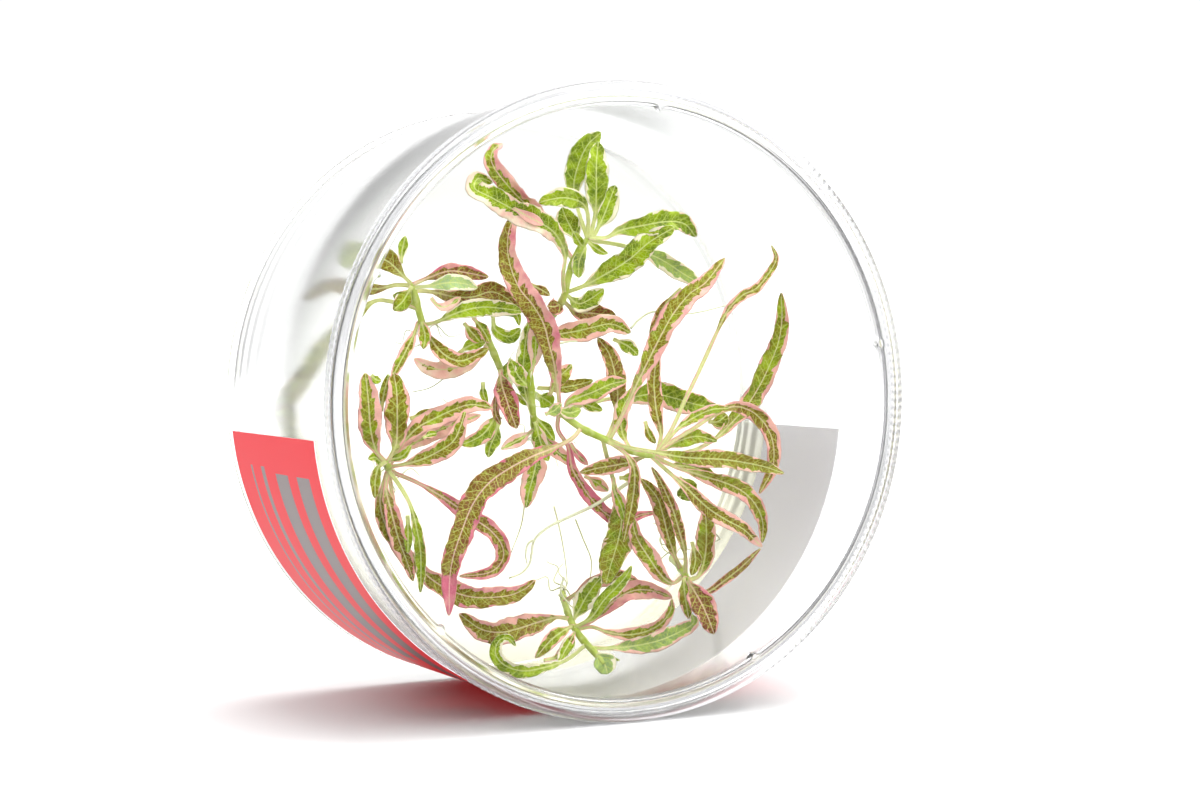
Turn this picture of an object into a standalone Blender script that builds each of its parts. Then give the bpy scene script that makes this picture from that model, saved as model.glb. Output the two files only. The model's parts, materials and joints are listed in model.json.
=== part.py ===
# A sealed cup of hygrophila shoots grown in clear jelly: a clear cup with a snap-on lid, a paper label
# round the lower half of its wall, a disc of jelly in its base, and eight stems with their leaves.
# Everything is modelled upright, with the base on z = 0 and the lid on top, and is then laid on its side
# by one empty, so that the cup rests on the lid's skirt and on the edge of its base.
# Lengths are millimetres until they reach a mesh, which holds metres.

import math

import bmesh
import bpy
import numpy as np

MM = 0.001

# Driving dimensions of the cup and its lid
HEIGHT = 51.4
LID_RADIUS = 50.0
SKIRT_DEPTH = 3.0
MOUTH_RADIUS = 48.7
MOUTH_DEPTH = 2.2
BASE_WALL_RADIUS = 47.05
BASE_RADIUS = 47.6
BASE_CHAMFER = 0.5
BASE_BEAD_TOP = 1.2
WALL = 1.0
FLOOR = 1.0
CLEARANCE = 0.3
SIDES = 48

# The jelly fills the base up to this depth behind the lid's front
JELLY_DEPTH = 39.2
JELLY_CHAMFER = 1.0

# The label's edges, as depths behind the lid's front, and its ends, as angles round the cup
LABEL_DEPTH_LEFT = 10.7
LABEL_DEPTH_RIGHT = 17.0
LABEL_BACK_DEPTH = 49.6
LABEL_ANGLES = (-175.0, -8.0)
LABEL_GAP = 0.25
LABEL_THICKNESS = 0.12
LABEL_STEPS = 24

# Stems and leaves
STEM_RADIUS = 0.6
STEM_POINT_SPACING = 5.0
LEAF_THICKNESS = 0.35
LEAF_STATION_SPACING = 3.2
LEAF_STATIONS = (4, 11)
LEAF_FOLD = 0.22
STALK_HALF_WIDTH = 0.35
TIP_HALF_WIDTH = 0.2
LEAF_START_CLEARANCE = 1.35

# The plants are laid out as they show through the lid to someone at this place, which is given across,
# up and in front of the middle of the lid's front face
VIEWPOINT = (-235.0, 21.6, 460.6)

TINTS = {
    "clear": ((0.90, 0.92, 0.92), 0.08),
    "jelly": ((0.93, 0.92, 0.84), 0.10),
    "label": ((0.86, 0.10, 0.13), 0.45),
    "stem": ((0.50, 0.58, 0.24), 0.45),
    "green": ((0.22, 0.42, 0.08), 0.45),
    "olive": ((0.27, 0.30, 0.08), 0.45),
    "brown": ((0.30, 0.15, 0.09), 0.45),
    "peach": ((0.80, 0.58, 0.42), 0.45),
    "pink": ((0.72, 0.25, 0.26), 0.45),
    "mint": ((0.55, 0.68, 0.42), 0.45),
}

# Each stem runs from the jelly to its growing tip: (across, up) where it shows on the lid, and its depth
STEMS = {
    "top_stem": [(-16, 12, 38.3), (-13, 14, 32), (-11.2, 16.5, 24), (-10, 20.5, 21), (-8.2, 24, 19),
                 (-6.6, 25.8, 18)],
    "left_stem": [(-34.6, 12.9, 38.3), (-34.8, 13.1, 31), (-35.4, 15.2, 28.5), (-36.4, 19.3, 26)],
    "lower_left_stem": [(-40.5, -9, 38.3), (-40.8, -8.8, 31), (-41, -8.2, 26), (-41.3, -7.2, 24)],
    "side_stem": [(-20.8, 3.6, 38.3), (-21.4, 4.6, 33), (-22.2, 6.2, 29.6), (-23.4, 9, 27.6),
                  (-24.5, 11.5, 26.4)],
    "middle_stem": [(-16.6, -5.5, 38.3), (-16.6, -4.6, 31), (-16.7, -2.5, 26), (-17, 1.5, 23),
                    (-17.2, 5.6, 21.4)],
    "right_stem": [(-17.5, 2.5, 38.3), (-15, 1, 30), (-12, -1.2, 23), (-8.6, -3.6, 19.5),
                   (-4.4, -5.6, 16), (0, -7.5, 14), (4, -8.6, 12.5)],
    "lower_right_stem": [(6.5, -24.5, 38.3), (7.4, -25.4, 30), (8.6, -27, 23), (9.4, -28.2, 20)],
    "bottom_stem": [(-12.6, -28.8, 38.3), (-11.8, -31.5, 33), (-10.8, -34, 29), (-9.2, -36.3, 26),
                    (-6.8, -38.9, 23), (-5.7, -40.3, 21.4)],
}

# Each leaf: stem, tint, width, share of its length that is stalk, turn about its midrib in degrees, and
# its midrib's route from the stem to the tip, written as the stems' routes are
LEAVES = {
    "top_leaf_1": ("top_stem", "green", 2.7, 0.15, 10, [
        (-9.4, 22.3, 20.3), (-12, 25.8, 19), (-14.6, 28.5, 17.6), (-17.4, 31.2, 16.2),
        (-19.7, 33.4, 15.2), (-21.8, 35.7, 14.6), (-22.8, 37.7, 14.6), (-22.3, 39.2, 15.2),
        (-21, 40.1, 16.5)]),
    "top_leaf_2": ("top_stem", "green", 3.3, 0.2, 0, [
        (-11, 16.8, 23.5), (-11.2, 20, 19.2), (-10.8, 23.4, 17), (-12.4, 26.5, 15.4),
        (-15.8, 28.5, 14.4), (-19.6, 30.4, 14), (-23.2, 32.1, 14), (-25.7, 33.4, 14.9),
        (-25, 34.9, 16.4), (-22.8, 34.3, 17.4)]),
    "top_leaf_3": ("top_stem", "green", 2.7, 0.35, 0, [
        (-7, 25.4, 18.3), (-6.6, 28.6, 16.4), (-7.4, 30.9, 15.8), (-10.2, 31.8, 16),
        (-12.8, 31.6, 16.8), (-15, 31.1, 17.8)]),
    "top_leaf_4": ("top_stem", "green", 3.3, 0.3, 0, [
        (-6.9, 25.8, 18.2), (-8.4, 30, 19.6), (-9, 33.5, 20), (-8, 37, 19.6), (-6.4, 40, 19.4),
        (-4.2, 41.8, 19.6)]),
    "top_leaf_5": ("top_stem", "green", 3.3, 0.2, 0, [
        (-6.3, 26.2, 17.8), (-5.3, 29.5, 17), (-5.1, 33, 16.6), (-5.1, 36.8, 16.8),
        (-4.6, 40.3, 17.6)]),
    "top_leaf_6": ("top_stem", "green", 3.1, 0.25, 0, [
        (-5.7, 26, 18.8), (-4, 29, 19), (-2.6, 31.8, 19.2), (-1.8, 33.6, 19.4)]),
    "top_leaf_7": ("top_stem", "green", 3.1, 0.12, 0, [
        (-6.2, 25.6, 17.7), (-3.6, 25.6, 17), (-1, 26.8, 16.2), (3.2, 27.5, 15.6), (7.2, 27.9, 15.6),
        (10.2, 27.5, 16.4), (12.1, 25.6, 17.6)]),
    "top_leaf_8": ("top_stem", "green", 3.6, 0.12, 0, [
        (-10.6, 17.4, 23.2), (-7, 18.5, 20.8), (-3, 20.4, 18.6), (0.5, 22.4, 16.8), (4, 24.8, 15),
        (8.3, 27.1, 13.6)]),
    "top_leaf_9": ("top_stem", "brown", 2.8, 0.1, 0, [
        (-11.2, 16, 25), (-9, 14.3, 25.4), (-6, 14, 25.2), (-2.3, 13.6, 24.6)]),
    "left_leaf_1": ("left_stem", "mint", 2.3, 0.2, 0, [
        (-36.2, 18.7, 26.4), (-33.5, 18.9, 24.4), (-30.5, 19.3, 23.2), (-27.8, 19, 22.8),
        (-25.7, 18.4, 22.8)]),
    "left_leaf_2": ("left_stem", "brown", 2.1, 0.1, 0, [
        (-36.3, 19.2, 26), (-33.2, 20.3, 25.4), (-30.2, 21, 25), (-27, 20.6, 24.8),
        (-23.8, 20, 24.8)]),
    "left_leaf_3": ("left_stem", "olive", 2.9, 0.1, 0, [
        (-36.2, 18.2, 26.9), (-32.8, 17.9, 26.4), (-29.6, 17.2, 26), (-26.4, 17, 25.8),
        (-23.4, 17.7, 25.6), (-21, 16.9, 25.4), (-18.5, 14.9, 25.2)]),
    "left_leaf_4": ("left_stem", "green", 2.5, 0.2, 0, [
        (-34.9, 13.1, 30), (-32.6, 13.4, 26.6), (-29.8, 14.4, 23.8), (-27, 15.2, 22.4),
        (-24.4, 15.5, 22), (-21.6, 15.2, 22), (-18.2, 14.6, 22.4)]),
    "left_leaf_5": ("left_stem", "olive", 2.2, 0.1, 0, [
        (-34.7, 12.8, 30.6), (-33.4, 10.8, 28), (-31.9, 8.9, 26.2), (-30.2, 7.7, 25.4),
        (-28.4, 7.4, 25), (-26.2, 8.2, 24.8), (-24, 9.2, 24.8)]),
    "left_leaf_6": ("side_stem", "peach", 2.7, 0.1, 0, [
        (-24, 10.2, 27.1), (-25.6, 8, 27.6), (-28.8, 6.5, 28), (-31.6, 6.2, 28), (-34.2, 6.8, 27.8),
        (-36.4, 8, 27.4)]),
    "left_leaf_7": ("left_stem", "olive", 3, 0.1, 0, [
        (-36.6, 19.4, 26.4), (-38.2, 20.9, 27.2), (-40.2, 22.6, 27.8), (-43, 23.6, 28),
        (-46.5, 23.2, 27.6)]),
    "left_leaf_8": ("left_stem", "olive", 2.4, 0.25, 0, [
        (-35.5, 15.5, 28.4), (-39.6, 16.6, 29.6), (-43, 16.6, 30), (-47, 13.2, 30.4),
        (-50.6, 10.2, 30.6), (-54.2, 6.2, 30.8), (-56.8, 2.2, 31), (-57.2, -1.6, 31),
        (-55.4, -5, 30.6), (-52.4, -6.4, 30)]),
    "lower_left_leaf_1": ("lower_left_stem", "green", 3.2, 0.1, 0, [
        (-41.3, -7.4, 24.6), (-42.8, -5.6, 23.6), (-43.6, -2.6, 22.8), (-43.9, 0.4, 22.6),
        (-44.1, 3.4, 22.8), (-44.3, 6.1, 23.4)]),
    "lower_left_leaf_2": ("lower_left_stem", "olive", 3.4, 0.1, 0, [
        (-41.1, -7.3, 24.2), (-39.7, -4.8, 22.8), (-39.3, -2, 22), (-39.3, 0.8, 21.8),
        (-39.4, 3.4, 22.2), (-39.7, 6, 23)]),
    "lower_left_leaf_3": ("lower_left_stem", "green", 2.8, 0.1, 0, [
        (-40.9, -7.8, 25.2), (-38.8, -4.9, 23.8), (-36.4, -2.7, 22.8), (-33.4, -1.2, 22),
        (-30.2, 0.1, 21.4), (-27.2, 0.7, 21.4), (-23.6, 0.1, 21.8)]),
    "lower_left_leaf_4": ("lower_left_stem", "olive", 2.7, 0.1, 0, [
        (-40.9, -8.1, 25.6), (-38, -7.8, 23.6), (-35.2, -7.1, 22.2), (-32.4, -5.9, 21),
        (-30.2, -4.6, 20.2), (-29, -2.6, 19.8), (-28.1, -0.3, 19.6)]),
    "lower_left_leaf_5": ("lower_left_stem", "olive", 2.4, 0.1, 0, [
        (-41, -8.4, 26.4), (-41.4, -11.5, 25), (-40.8, -14.5, 24.4), (-39.9, -17.8, 24),
        (-38.8, -21.2, 24), (-37.4, -25.4, 24.2)]),
    "lower_left_leaf_6": ("lower_left_stem", "olive", 2.3, 0.1, 0, [
        (-40.9, -8.6, 27.4), (-36.8, -10.4, 25.8), (-33.2, -12.5, 25.2), (-30, -14.5, 24.8),
        (-27, -16.7, 24.2), (-24.2, -18.8, 23.4), (-22.4, -21.2, 22.6), (-22.6, -23.4, 22.4),
        (-24.8, -24.9, 22.4), (-29.8, -25.2, 22.8)]),
    "lower_left_leaf_7": ("lower_left_stem", "green", 3.1, 0.3, 0, [
        (-40.9, -8.7, 29), (-40.2, -14, 27.6), (-38.8, -19, 27), (-36.4, -23.2, 26.4),
        (-33.4, -26.1, 25.8), (-30, -27.8, 25.2), (-26, -28.7, 24.8), (-22, -28.7, 24.6),
        (-19, -27.8, 24.6), (-17.1, -26.6, 24.8)]),
    "middle_leaf_1": ("right_stem", "brown", 3.3, 0.2, 0, [
        (-12.2, -1.1, 23.2), (-12.5, 2.5, 20.8), (-12.9, 6, 18.8), (-13.9, 9.6, 17.4),
        (-14.7, 12.8, 16.6), (-16.4, 15.6, 16.4), (-18.5, 17.9, 16.8), (-19.8, 20.8, 17.6),
        (-20.4, 24.2, 18.6), (-20, 27.6, 19.6)]),
    "middle_leaf_2": ("top_stem", "green", 3.1, 0.25, 0, [
        (-13.2, 13.9, 32.2), (-14.6, 11.2, 29), (-12.8, 10.9, 26), (-9.6, 11.3, 24.4),
        (-6.2, 11.9, 23.4), (-3, 12.2, 23), (0.2, 10.9, 23.2)]),
    "middle_leaf_3": ("right_stem", "brown", 2.7, 0.25, 0, [
        (-4.4, -5.6, 16.2), (-2.6, -2, 18.8), (-2.2, 1.2, 20.6), (-2.7, 4.6, 22.4), (-3.6, 7.8, 24.2),
        (-5.4, 10.2, 25.6)]),
    "middle_leaf_4": ("right_stem", "pink", 2.6, 0.1, 0, [
        (-11.4, -1.6, 22.5), (-10.9, 0.3, 21.2), (-8.9, 1.2, 20.2), (-6.2, 2, 19.6), (-3.5, 2.9, 19.4),
        (-0.7, 3.4, 19.6)]),
    "middle_leaf_5": ("side_stem", "brown", 2.9, 0.1, 0, [
        (-22.2, 6.2, 29.6), (-21.9, 3.6, 27.2), (-21.3, 1.4, 25.6), (-20.6, -0.8, 24.8),
        (-19.6, -3.2, 24.6)]),
    "right_leaf_1": ("right_stem", "olive", 3.6, 0.1, 0, [
        (-8.6, -3.6, 19.5), (-10.4, -5.2, 17.2), (-14, -6.6, 15.2), (-17.8, -7.9, 13.8),
        (-21.5, -9.4, 12.8), (-24.6, -11.4, 12), (-27.2, -14.4, 11.6), (-29.2, -18.2, 11.4),
        (-30.7, -22.2, 11.6), (-31.4, -26.2, 12), (-31.7, -31, 12.8)]),
    "right_leaf_2": ("right_stem", "olive", 3, 0.15, 0, [
        (-4, -5.8, 15.8), (-2.4, -3.4, 14.6), (-0.6, -0.6, 13.4), (1.2, 3, 12.4), (3.4, 6.8, 11.8),
        (5.6, 10.2, 11.6), (8, 13.8, 11.8), (10.8, 16.7, 12.4), (13.8, 18.4, 13.4), (17.1, 22, 15)]),
    "right_leaf_3": ("right_stem", "green", 1.4, 0.5, 0, [
        (3.8, -8.5, 12.6), (6.8, -4.8, 12.6), (9.6, 0, 13.2), (12.4, 5, 13.8), (15.2, 9.9, 14.2),
        (17.6, 14, 14.4), (20.2, 16.2, 14.6), (22.8, 17.2, 14.8), (25, 19.4, 15), (26.4, 21.8, 15.2),
        (25.6, 23.9, 15.8)]),
    "right_leaf_4": ("right_stem", "olive", 2.9, 0.38, 0, [
        (1.6, -8, 13.4), (5, -8.6, 16.4), (8.5, -8.3, 18.8), (11.4, -7.8, 20.8), (14.6, -6.3, 23),
        (17.6, -4.1, 24.4), (20, -1.9, 25), (22.2, 0.8, 25.2), (24.6, 4.4, 25), (26.4, 8.2, 24.6),
        (27.2, 12.2, 24), (27.3, 16.4, 23.4)]),
    "right_leaf_5": ("right_stem", "green", 3.6, 0.38, 0, [
        (-12.6, -0.8, 24.2), (-8, 0, 25.6), (-3.5, 0.7, 26.4), (0.5, 0.9, 26.6), (4.2, 1.1, 26.6),
        (8.2, 0.3, 26.4), (12, -0.9, 26), (15.6, -1.5, 25.6)]),
    "right_leaf_6": ("right_stem", "olive", 2.5, 0.2, 0, [
        (-4.6, -5.5, 16.1), (-1.2, -6.8, 13), (3, -7.7, 11), (8, -8.7, 10), (13, -9.3, 9.6),
        (18, -9.9, 9.6), (22.6, -10.8, 10.2), (26.9, -12.3, 11.2)]),
    "right_leaf_7": ("right_stem", "brown", 2.3, 0.35, 0, [
        (3.4, -8.4, 12.8), (7.4, -6.2, 14.4), (10.8, -4.5, 15.6), (14, -2.9, 16.6),
        (17.6, -1.4, 17.4), (20.4, -1.7, 18), (22.8, -3.2, 18.2), (24.6, -5.8, 18.2),
        (25.3, -8.8, 18), (24.8, -12, 18), (22.5, -15.3, 18.2)]),
    "right_leaf_8": ("right_stem", "green", 2.6, 0.15, 0, [
        (4, -8.6, 12.5), (8.4, -10.7, 13.2), (12.4, -12, 13.8), (16, -13.1, 14.2), (19.4, -14.8, 14.6),
        (21.9, -17.2, 15), (23.1, -20, 15.6), (22.8, -23.1, 16.4)]),
    "right_leaf_9": ("right_stem", "brown", 2.7, 0.1, 0, [
        (3.4, -8.5, 12.7), (7.2, -11.8, 11.6), (10, -14.3, 11.2), (13.2, -17, 11.2),
        (16.6, -19.3, 11.6), (19.8, -21, 12.4), (22.7, -23.7, 14)]),
    "right_leaf_10": ("right_stem", "pink", 1.9, 0.1, 0, [
        (-12.3, -1, 23.6), (-12.6, -3.6, 24), (-11, -6.4, 24.4), (-10.4, -9.6, 24.6),
        (-8.8, -12.2, 24.6), (-7.2, -14.6, 24.6), (-4.8, -17, 24.8), (-1.8, -18.3, 25.2),
        (1.2, -17.6, 26), (4.2, -17.3, 26.4)]),
    "right_leaf_11": ("right_stem", "olive", 4.2, 0.4, 0, [
        (-5, -5.3, 16.6), (-4.2, -9, 19), (-3, -13, 21.2), (-2, -17.2, 22.6), (-2.8, -21.4, 22.6),
        (-4, -25, 22.4), (-5, -28, 22.2)]),
    "lower_right_leaf_1": ("lower_right_stem", "olive", 2.5, 0.1, 0, [
        (8.3, -26.6, 24.4), (7.2, -24.4, 23.6), (6, -21.2, 23.4), (5.2, -17.6, 23.2),
        (4.2, -14.8, 23), (1.4, -11.9, 22.8)]),
    "lower_right_leaf_2": ("lower_right_stem", "olive", 2.9, 0.1, 0, [
        (9.4, -28.2, 20), (11.3, -27.6, 20.6), (12.5, -24.8, 21.2), (12.9, -21.4, 21.4),
        (12.6, -16.6, 21.4)]),
    "lower_right_leaf_3": ("lower_right_stem", "pink", 2.6, 0.1, 0, [
        (8.8, -27.4, 22.2), (6.6, -28.5, 21.4), (4.4, -26.8, 20.8), (2.4, -24.1, 20.4),
        (0.5, -20.8, 20.4), (-0.4, -17.4, 20.8)]),
    "lower_right_leaf_4": ("lower_right_stem", "brown", 3.4, 0.1, 0, [
        (9.2, -27.9, 20.6), (10.9, -30.6, 17.4), (12.5, -33.8, 15.6), (13.9, -37, 14.4)]),
    "bottom_leaf_1": ("bottom_stem", "green", 3.5, 0.1, 0, [
        (-11.2, -33, 30.4), (-13.6, -32.5, 29.4), (-16.6, -33, 28.6), (-19.8, -33.8, 28.2),
        (-23, -34.2, 28), (-26.4, -33.4, 27.8), (-30, -30.9, 27.6)]),
    "bottom_leaf_2": ("bottom_stem", "green", 2, 0.15, 0, [
        (-8.6, -37, 25.2), (-12.2, -39.2, 24.2), (-16.2, -40.2, 23.6), (-19.6, -40.3, 23),
        (-22.6, -39.2, 22.4), (-24.1, -37.4, 22), (-23.6, -35.5, 21.8), (-21.9, -35.1, 21.8),
        (-20.7, -36.4, 22.2)]),
    "bottom_leaf_3": ("bottom_stem", "pink", 2.8, 0.15, 0, [
        (-10.7, -34.2, 28.7), (-7.4, -33.4, 27.6), (-5, -31.6, 26.8), (-2.4, -30, 26.2),
        (0.6, -29.2, 25.8), (3.6, -29.6, 25.4), (6.5, -30.8, 25)]),
    "bottom_leaf_4": ("bottom_stem", "mint", 2.7, 0.1, 0, [
        (-8, -37.6, 24.6), (-5.6, -37.9, 23.4), (-2.4, -38, 22), (1.2, -37.7, 21), (4.8, -37.2, 20.2),
        (8, -36.2, 19.8), (10.2, -35, 20), (9.9, -33.7, 21)]),
}


def clear_scene():
    """Removes whatever the file held before."""
    for item in list(bpy.data.objects):
        bpy.data.objects.remove(item, do_unlink=True)


def make_materials():
    """One plain material for each tint."""
    made = {}
    for name, (colour, roughness) in TINTS.items():
        material = bpy.data.materials.new(name)
        material.use_nodes = True
        shader = material.node_tree.nodes["Principled BSDF"]
        shader.inputs["Base Color"].default_value = (*colour, 1.0)
        shader.inputs["Roughness"].default_value = roughness
        shader.inputs["Metallic"].default_value = 0.0
        made[name] = material
    return made


def lid_profile():
    """Half section of the lid, as (radius, depth), from the middle of its front round to its back."""
    pane, pane_back = 1.6, 2.6
    channel_top = MOUTH_DEPTH - CLEARANCE
    skirt_inside = MOUTH_RADIUS + 0.4
    plug = MOUTH_RADIUS - WALL - 0.4
    return [(0, pane), (46.3, pane), (46.6, 0.5), (46.9, 0.2), (47.5, 0.2), (47.6, 0.7), (48.2, 0.7),
            (48.3, 0.1), (48.6, 0), (49.4, 0), (LID_RADIUS, 0.6), (LID_RADIUS, SKIRT_DEPTH),
            (skirt_inside, SKIRT_DEPTH), (skirt_inside, channel_top), (plug, channel_top),
            (plug, pane_back), (0, pane_back)]


def wall_radius(depth):
    """Outer radius of the cup's tapered wall at a depth behind the lid's front."""
    share = (depth - MOUTH_DEPTH) / (HEIGHT - BASE_BEAD_TOP - MOUTH_DEPTH)
    return MOUTH_RADIUS + (BASE_WALL_RADIUS - MOUTH_RADIUS) * share


def cup_profile():
    """Half section of the cup, from the middle of its inner floor round the rim to its outer base."""
    floor_depth = HEIGHT - FLOOR
    corner_depth = floor_depth - JELLY_CHAMFER
    bead_depth = HEIGHT - BASE_BEAD_TOP
    inner_corner = wall_radius(corner_depth) - WALL
    return [(0, floor_depth), (inner_corner - JELLY_CHAMFER, floor_depth), (inner_corner, corner_depth),
            (MOUTH_RADIUS - WALL, MOUTH_DEPTH), (MOUTH_RADIUS, MOUTH_DEPTH),
            (BASE_WALL_RADIUS, bead_depth), (BASE_RADIUS, bead_depth + 0.2),
            (BASE_RADIUS, HEIGHT - BASE_CHAMFER), (BASE_RADIUS - BASE_CHAMFER, HEIGHT), (0, HEIGHT)]


def jelly_profile():
    """Half section of the jelly, which keeps a small gap to the cup."""
    bottom = HEIGHT - FLOOR - CLEARANCE
    corner = bottom - JELLY_CHAMFER
    inside = WALL + CLEARANCE
    return [(0, JELLY_DEPTH), (wall_radius(JELLY_DEPTH) - inside, JELLY_DEPTH),
            (wall_radius(corner) - inside, corner),
            (wall_radius(corner) - inside - JELLY_CHAMFER, bottom), (0, bottom)]


def turned(name, profile, material):
    """Turns a half section, given as (radius, depth), round the cup's axis."""
    mesh = bpy.data.meshes.new(name)
    points = [(radius * MM, 0.0, (HEIGHT - depth) * MM) for radius, depth in profile]
    mesh.from_pydata(points, [(i, i + 1) for i in range(len(points) - 1)], [])
    piece = bpy.data.objects.new(name, mesh)
    screw = piece.modifiers.new("Turn", "SCREW")
    screw.steps = SIDES
    screw.render_steps = SIDES
    screw.use_merge_vertices = True
    screw.merge_threshold = 0.00001
    piece.rotation_euler.z = math.pi / SIDES
    mesh.materials.append(material)
    return piece


def surface_grid(name, columns, rows, place, thickness, material):
    """A thin piece whose middle surface is a flat grid moved into shape by place(side, along)."""
    mesh = bpy.data.meshes.new(name)
    grid = bmesh.new()
    bmesh.ops.create_grid(grid, x_segments=columns, y_segments=rows, size=1.0)
    for corner in grid.verts:
        corner.co = [value * MM for value in place(corner.co.x, (corner.co.y + 1) / 2)]
    grid.to_mesh(mesh)
    grid.free()
    piece = bpy.data.objects.new(name, mesh)
    solidify = piece.modifiers.new("Thickness", "SOLIDIFY")
    solidify.thickness = thickness * MM
    solidify.offset = 0.0
    mesh.materials.append(material)
    return piece


def make_label(material):
    """The paper label, bent round the lower half of the wall; its front edge runs a little askew."""
    def place(side, along):
        angle = LABEL_ANGLES[0] + (LABEL_ANGLES[1] - LABEL_ANGLES[0]) * along
        front = LABEL_DEPTH_LEFT + (LABEL_DEPTH_RIGHT - LABEL_DEPTH_LEFT) * along
        depth = front + (LABEL_BACK_DEPTH - front) * (side + 1) / 2
        radius = wall_radius(depth) + LABEL_GAP + LABEL_THICKNESS / 2
        bearing = math.radians(angle)
        return radius * math.cos(bearing), radius * math.sin(bearing), HEIGHT - depth
    return surface_grid("label", 1, LABEL_STEPS, place, LABEL_THICKNESS, material)


def seen(across, up, depth):
    """The point at a depth behind the lid that shows at (across, up) on it from the viewpoint."""
    eye = np.array(VIEWPOINT)
    on_lid = np.array([across, up, 0.0])
    point = on_lid + (on_lid - eye) * depth / VIEWPOINT[2]
    return point + np.array([0, 0, HEIGHT])


def smooth_route(route, steps=12):
    """A smooth line through the route's points, as closely spaced points."""
    knots = [seen(*point) for point in route]
    knots = [2 * knots[0] - knots[1]] + knots + [2 * knots[-1] - knots[-2]]
    line = []
    for before, start, end, after in zip(knots, knots[1:], knots[2:], knots[3:]):
        for t in np.arange(steps) / steps:
            line.append(0.5 * (2 * start + (end - before) * t
                               + (2 * before - 5 * start + 4 * end - after) * t ** 2
                               + (3 * start - before - 3 * end + after) * t ** 3))
    return np.array(line + [knots[-2]])


def evenly_spaced(line, count):
    """The line read at evenly spaced lengths."""
    lengths = np.concatenate([[0], np.cumsum(np.linalg.norm(np.diff(line, axis=0), axis=1))])
    wanted = np.linspace(0, lengths[-1], count)
    return np.stack([np.interp(wanted, lengths, line[:, axis]) for axis in range(3)], axis=1)


def line_length(line):
    return float(np.linalg.norm(np.diff(line, axis=0), axis=1).sum())


def make_stem(name, route, material):
    """A round stem: a curve with a bevel along the smoothed route."""
    line = smooth_route(route)
    points = evenly_spaced(line, max(4, round(line_length(line) / STEM_POINT_SPACING) + 1))
    curve = bpy.data.curves.new(name, "CURVE")
    curve.dimensions = "3D"
    curve.bevel_depth = STEM_RADIUS * MM
    curve.bevel_resolution = 2
    curve.use_fill_caps = True
    spline = curve.splines.new("POLY")
    spline.points.add(len(points) - 1)
    for spot, point in zip(spline.points, points):
        spot.co = (*(point * MM), 1.0)
    curve.materials.append(material)
    return bpy.data.objects.new(name, curve)


def clear_of_stem(line, stem_line):
    """The part of a leaf's midrib that has come clear of the stem it grows from."""
    gaps = np.linalg.norm(line[:, None] - stem_line[None], axis=2).min(axis=1)
    inside = np.nonzero(gaps < LEAF_START_CLEARANCE)[0]
    return line[inside[-1] + 1:] if len(inside) else line


def blade_frames(stations, turn):
    """For each station of the midrib, the directions across the blade and out of its face."""
    eye = np.array(VIEWPOINT) + np.array([0, 0, HEIGHT])
    along = np.gradient(stations, axis=0)
    along /= np.linalg.norm(along, axis=1, keepdims=True)
    sight = stations - eye
    sight /= np.linalg.norm(sight, axis=1, keepdims=True)
    across = np.cross(along, sight)
    across /= np.linalg.norm(across, axis=1, keepdims=True)
    out = np.cross(across, along)
    angle = math.radians(turn)
    return (across * math.cos(angle) + out * math.sin(angle),
            out * math.cos(angle) - across * math.sin(angle))


def half_width(share, width, stalk):
    """Half the blade's width: a thin stalk, then a long oval that tapers to the tip."""
    if share <= stalk:
        return STALK_HALF_WIDTH
    blade = (share - stalk) / (1 - stalk)
    oval = width / 2 * math.sin(math.pi * blade ** 0.8) ** 0.8 if blade < 1 else 0.0
    return max(oval, TIP_HALF_WIDTH + (STALK_HALF_WIDTH - TIP_HALF_WIDTH) * (1 - blade))


def make_leaf(name, stem_line, width, stalk, turn, route, material):
    """A thin blade along its midrib, folded a little along the middle and facing the viewpoint."""
    line = clear_of_stem(smooth_route(route), stem_line)
    fewest, most = LEAF_STATIONS
    rows = min(most, max(fewest, round(line_length(line) / LEAF_STATION_SPACING)))
    stations = evenly_spaced(line, rows + 1)
    across, out = blade_frames(stations, turn)

    def place(side, along):
        row = round(along * rows)
        half = half_width(row / rows, width, stalk)
        return (stations[row] + across[row] * half * side
                - out[row] * half * LEAF_FOLD * abs(side))
    return surface_grid(name, 2, rows, place, LEAF_THICKNESS, material)


def laid_on_its_side():
    """The empty that lays the upright cup on its side, with the middle of its footprint at the origin."""
    flat = math.cos(math.pi / SIDES)
    rise = (LID_RADIUS - BASE_RADIUS) * flat
    tilt = math.atan2(rise, HEIGHT - BASE_CHAMFER - SKIRT_DEPTH)
    outline = [(radius * flat, HEIGHT - depth) for radius, depth in lid_profile() + cup_profile()]
    nearest = min(-radius * math.sin(tilt) - height * math.cos(tilt) for radius, height in outline)
    farthest = max(radius * math.sin(tilt) - height * math.cos(tilt) for radius, height in outline)
    lift = BASE_RADIUS * flat * math.cos(tilt) - BASE_CHAMFER * math.sin(tilt)
    rest = bpy.data.objects.new("laid on its side", None)
    rest.location = (0.0, -(nearest + farthest) / 2 * MM, lift * MM)
    rest.rotation_euler.x = math.pi / 2 - tilt
    return rest


def build():
    clear_scene()
    materials = make_materials()
    pieces = [turned("cup", cup_profile(), materials["clear"]),
              turned("lid", lid_profile(), materials["clear"]),
              turned("jelly", jelly_profile(), materials["jelly"]),
              make_label(materials["label"])]
    for name, route in STEMS.items():
        pieces.append(make_stem(name, route, materials["stem"]))
    for name, (stem, tint, width, stalk, turn, route) in LEAVES.items():
        stem_line = smooth_route(STEMS[stem])
        pieces.append(make_leaf(name, stem_line, width, stalk, turn, route, materials[tint]))

    collection = bpy.data.collections.new("tissue culture hygrophila")
    bpy.context.scene.collection.children.link(collection)
    rest = laid_on_its_side()
    collection.objects.link(rest)
    for piece in pieces:
        collection.objects.link(piece)
        piece.parent = rest


build()
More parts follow.
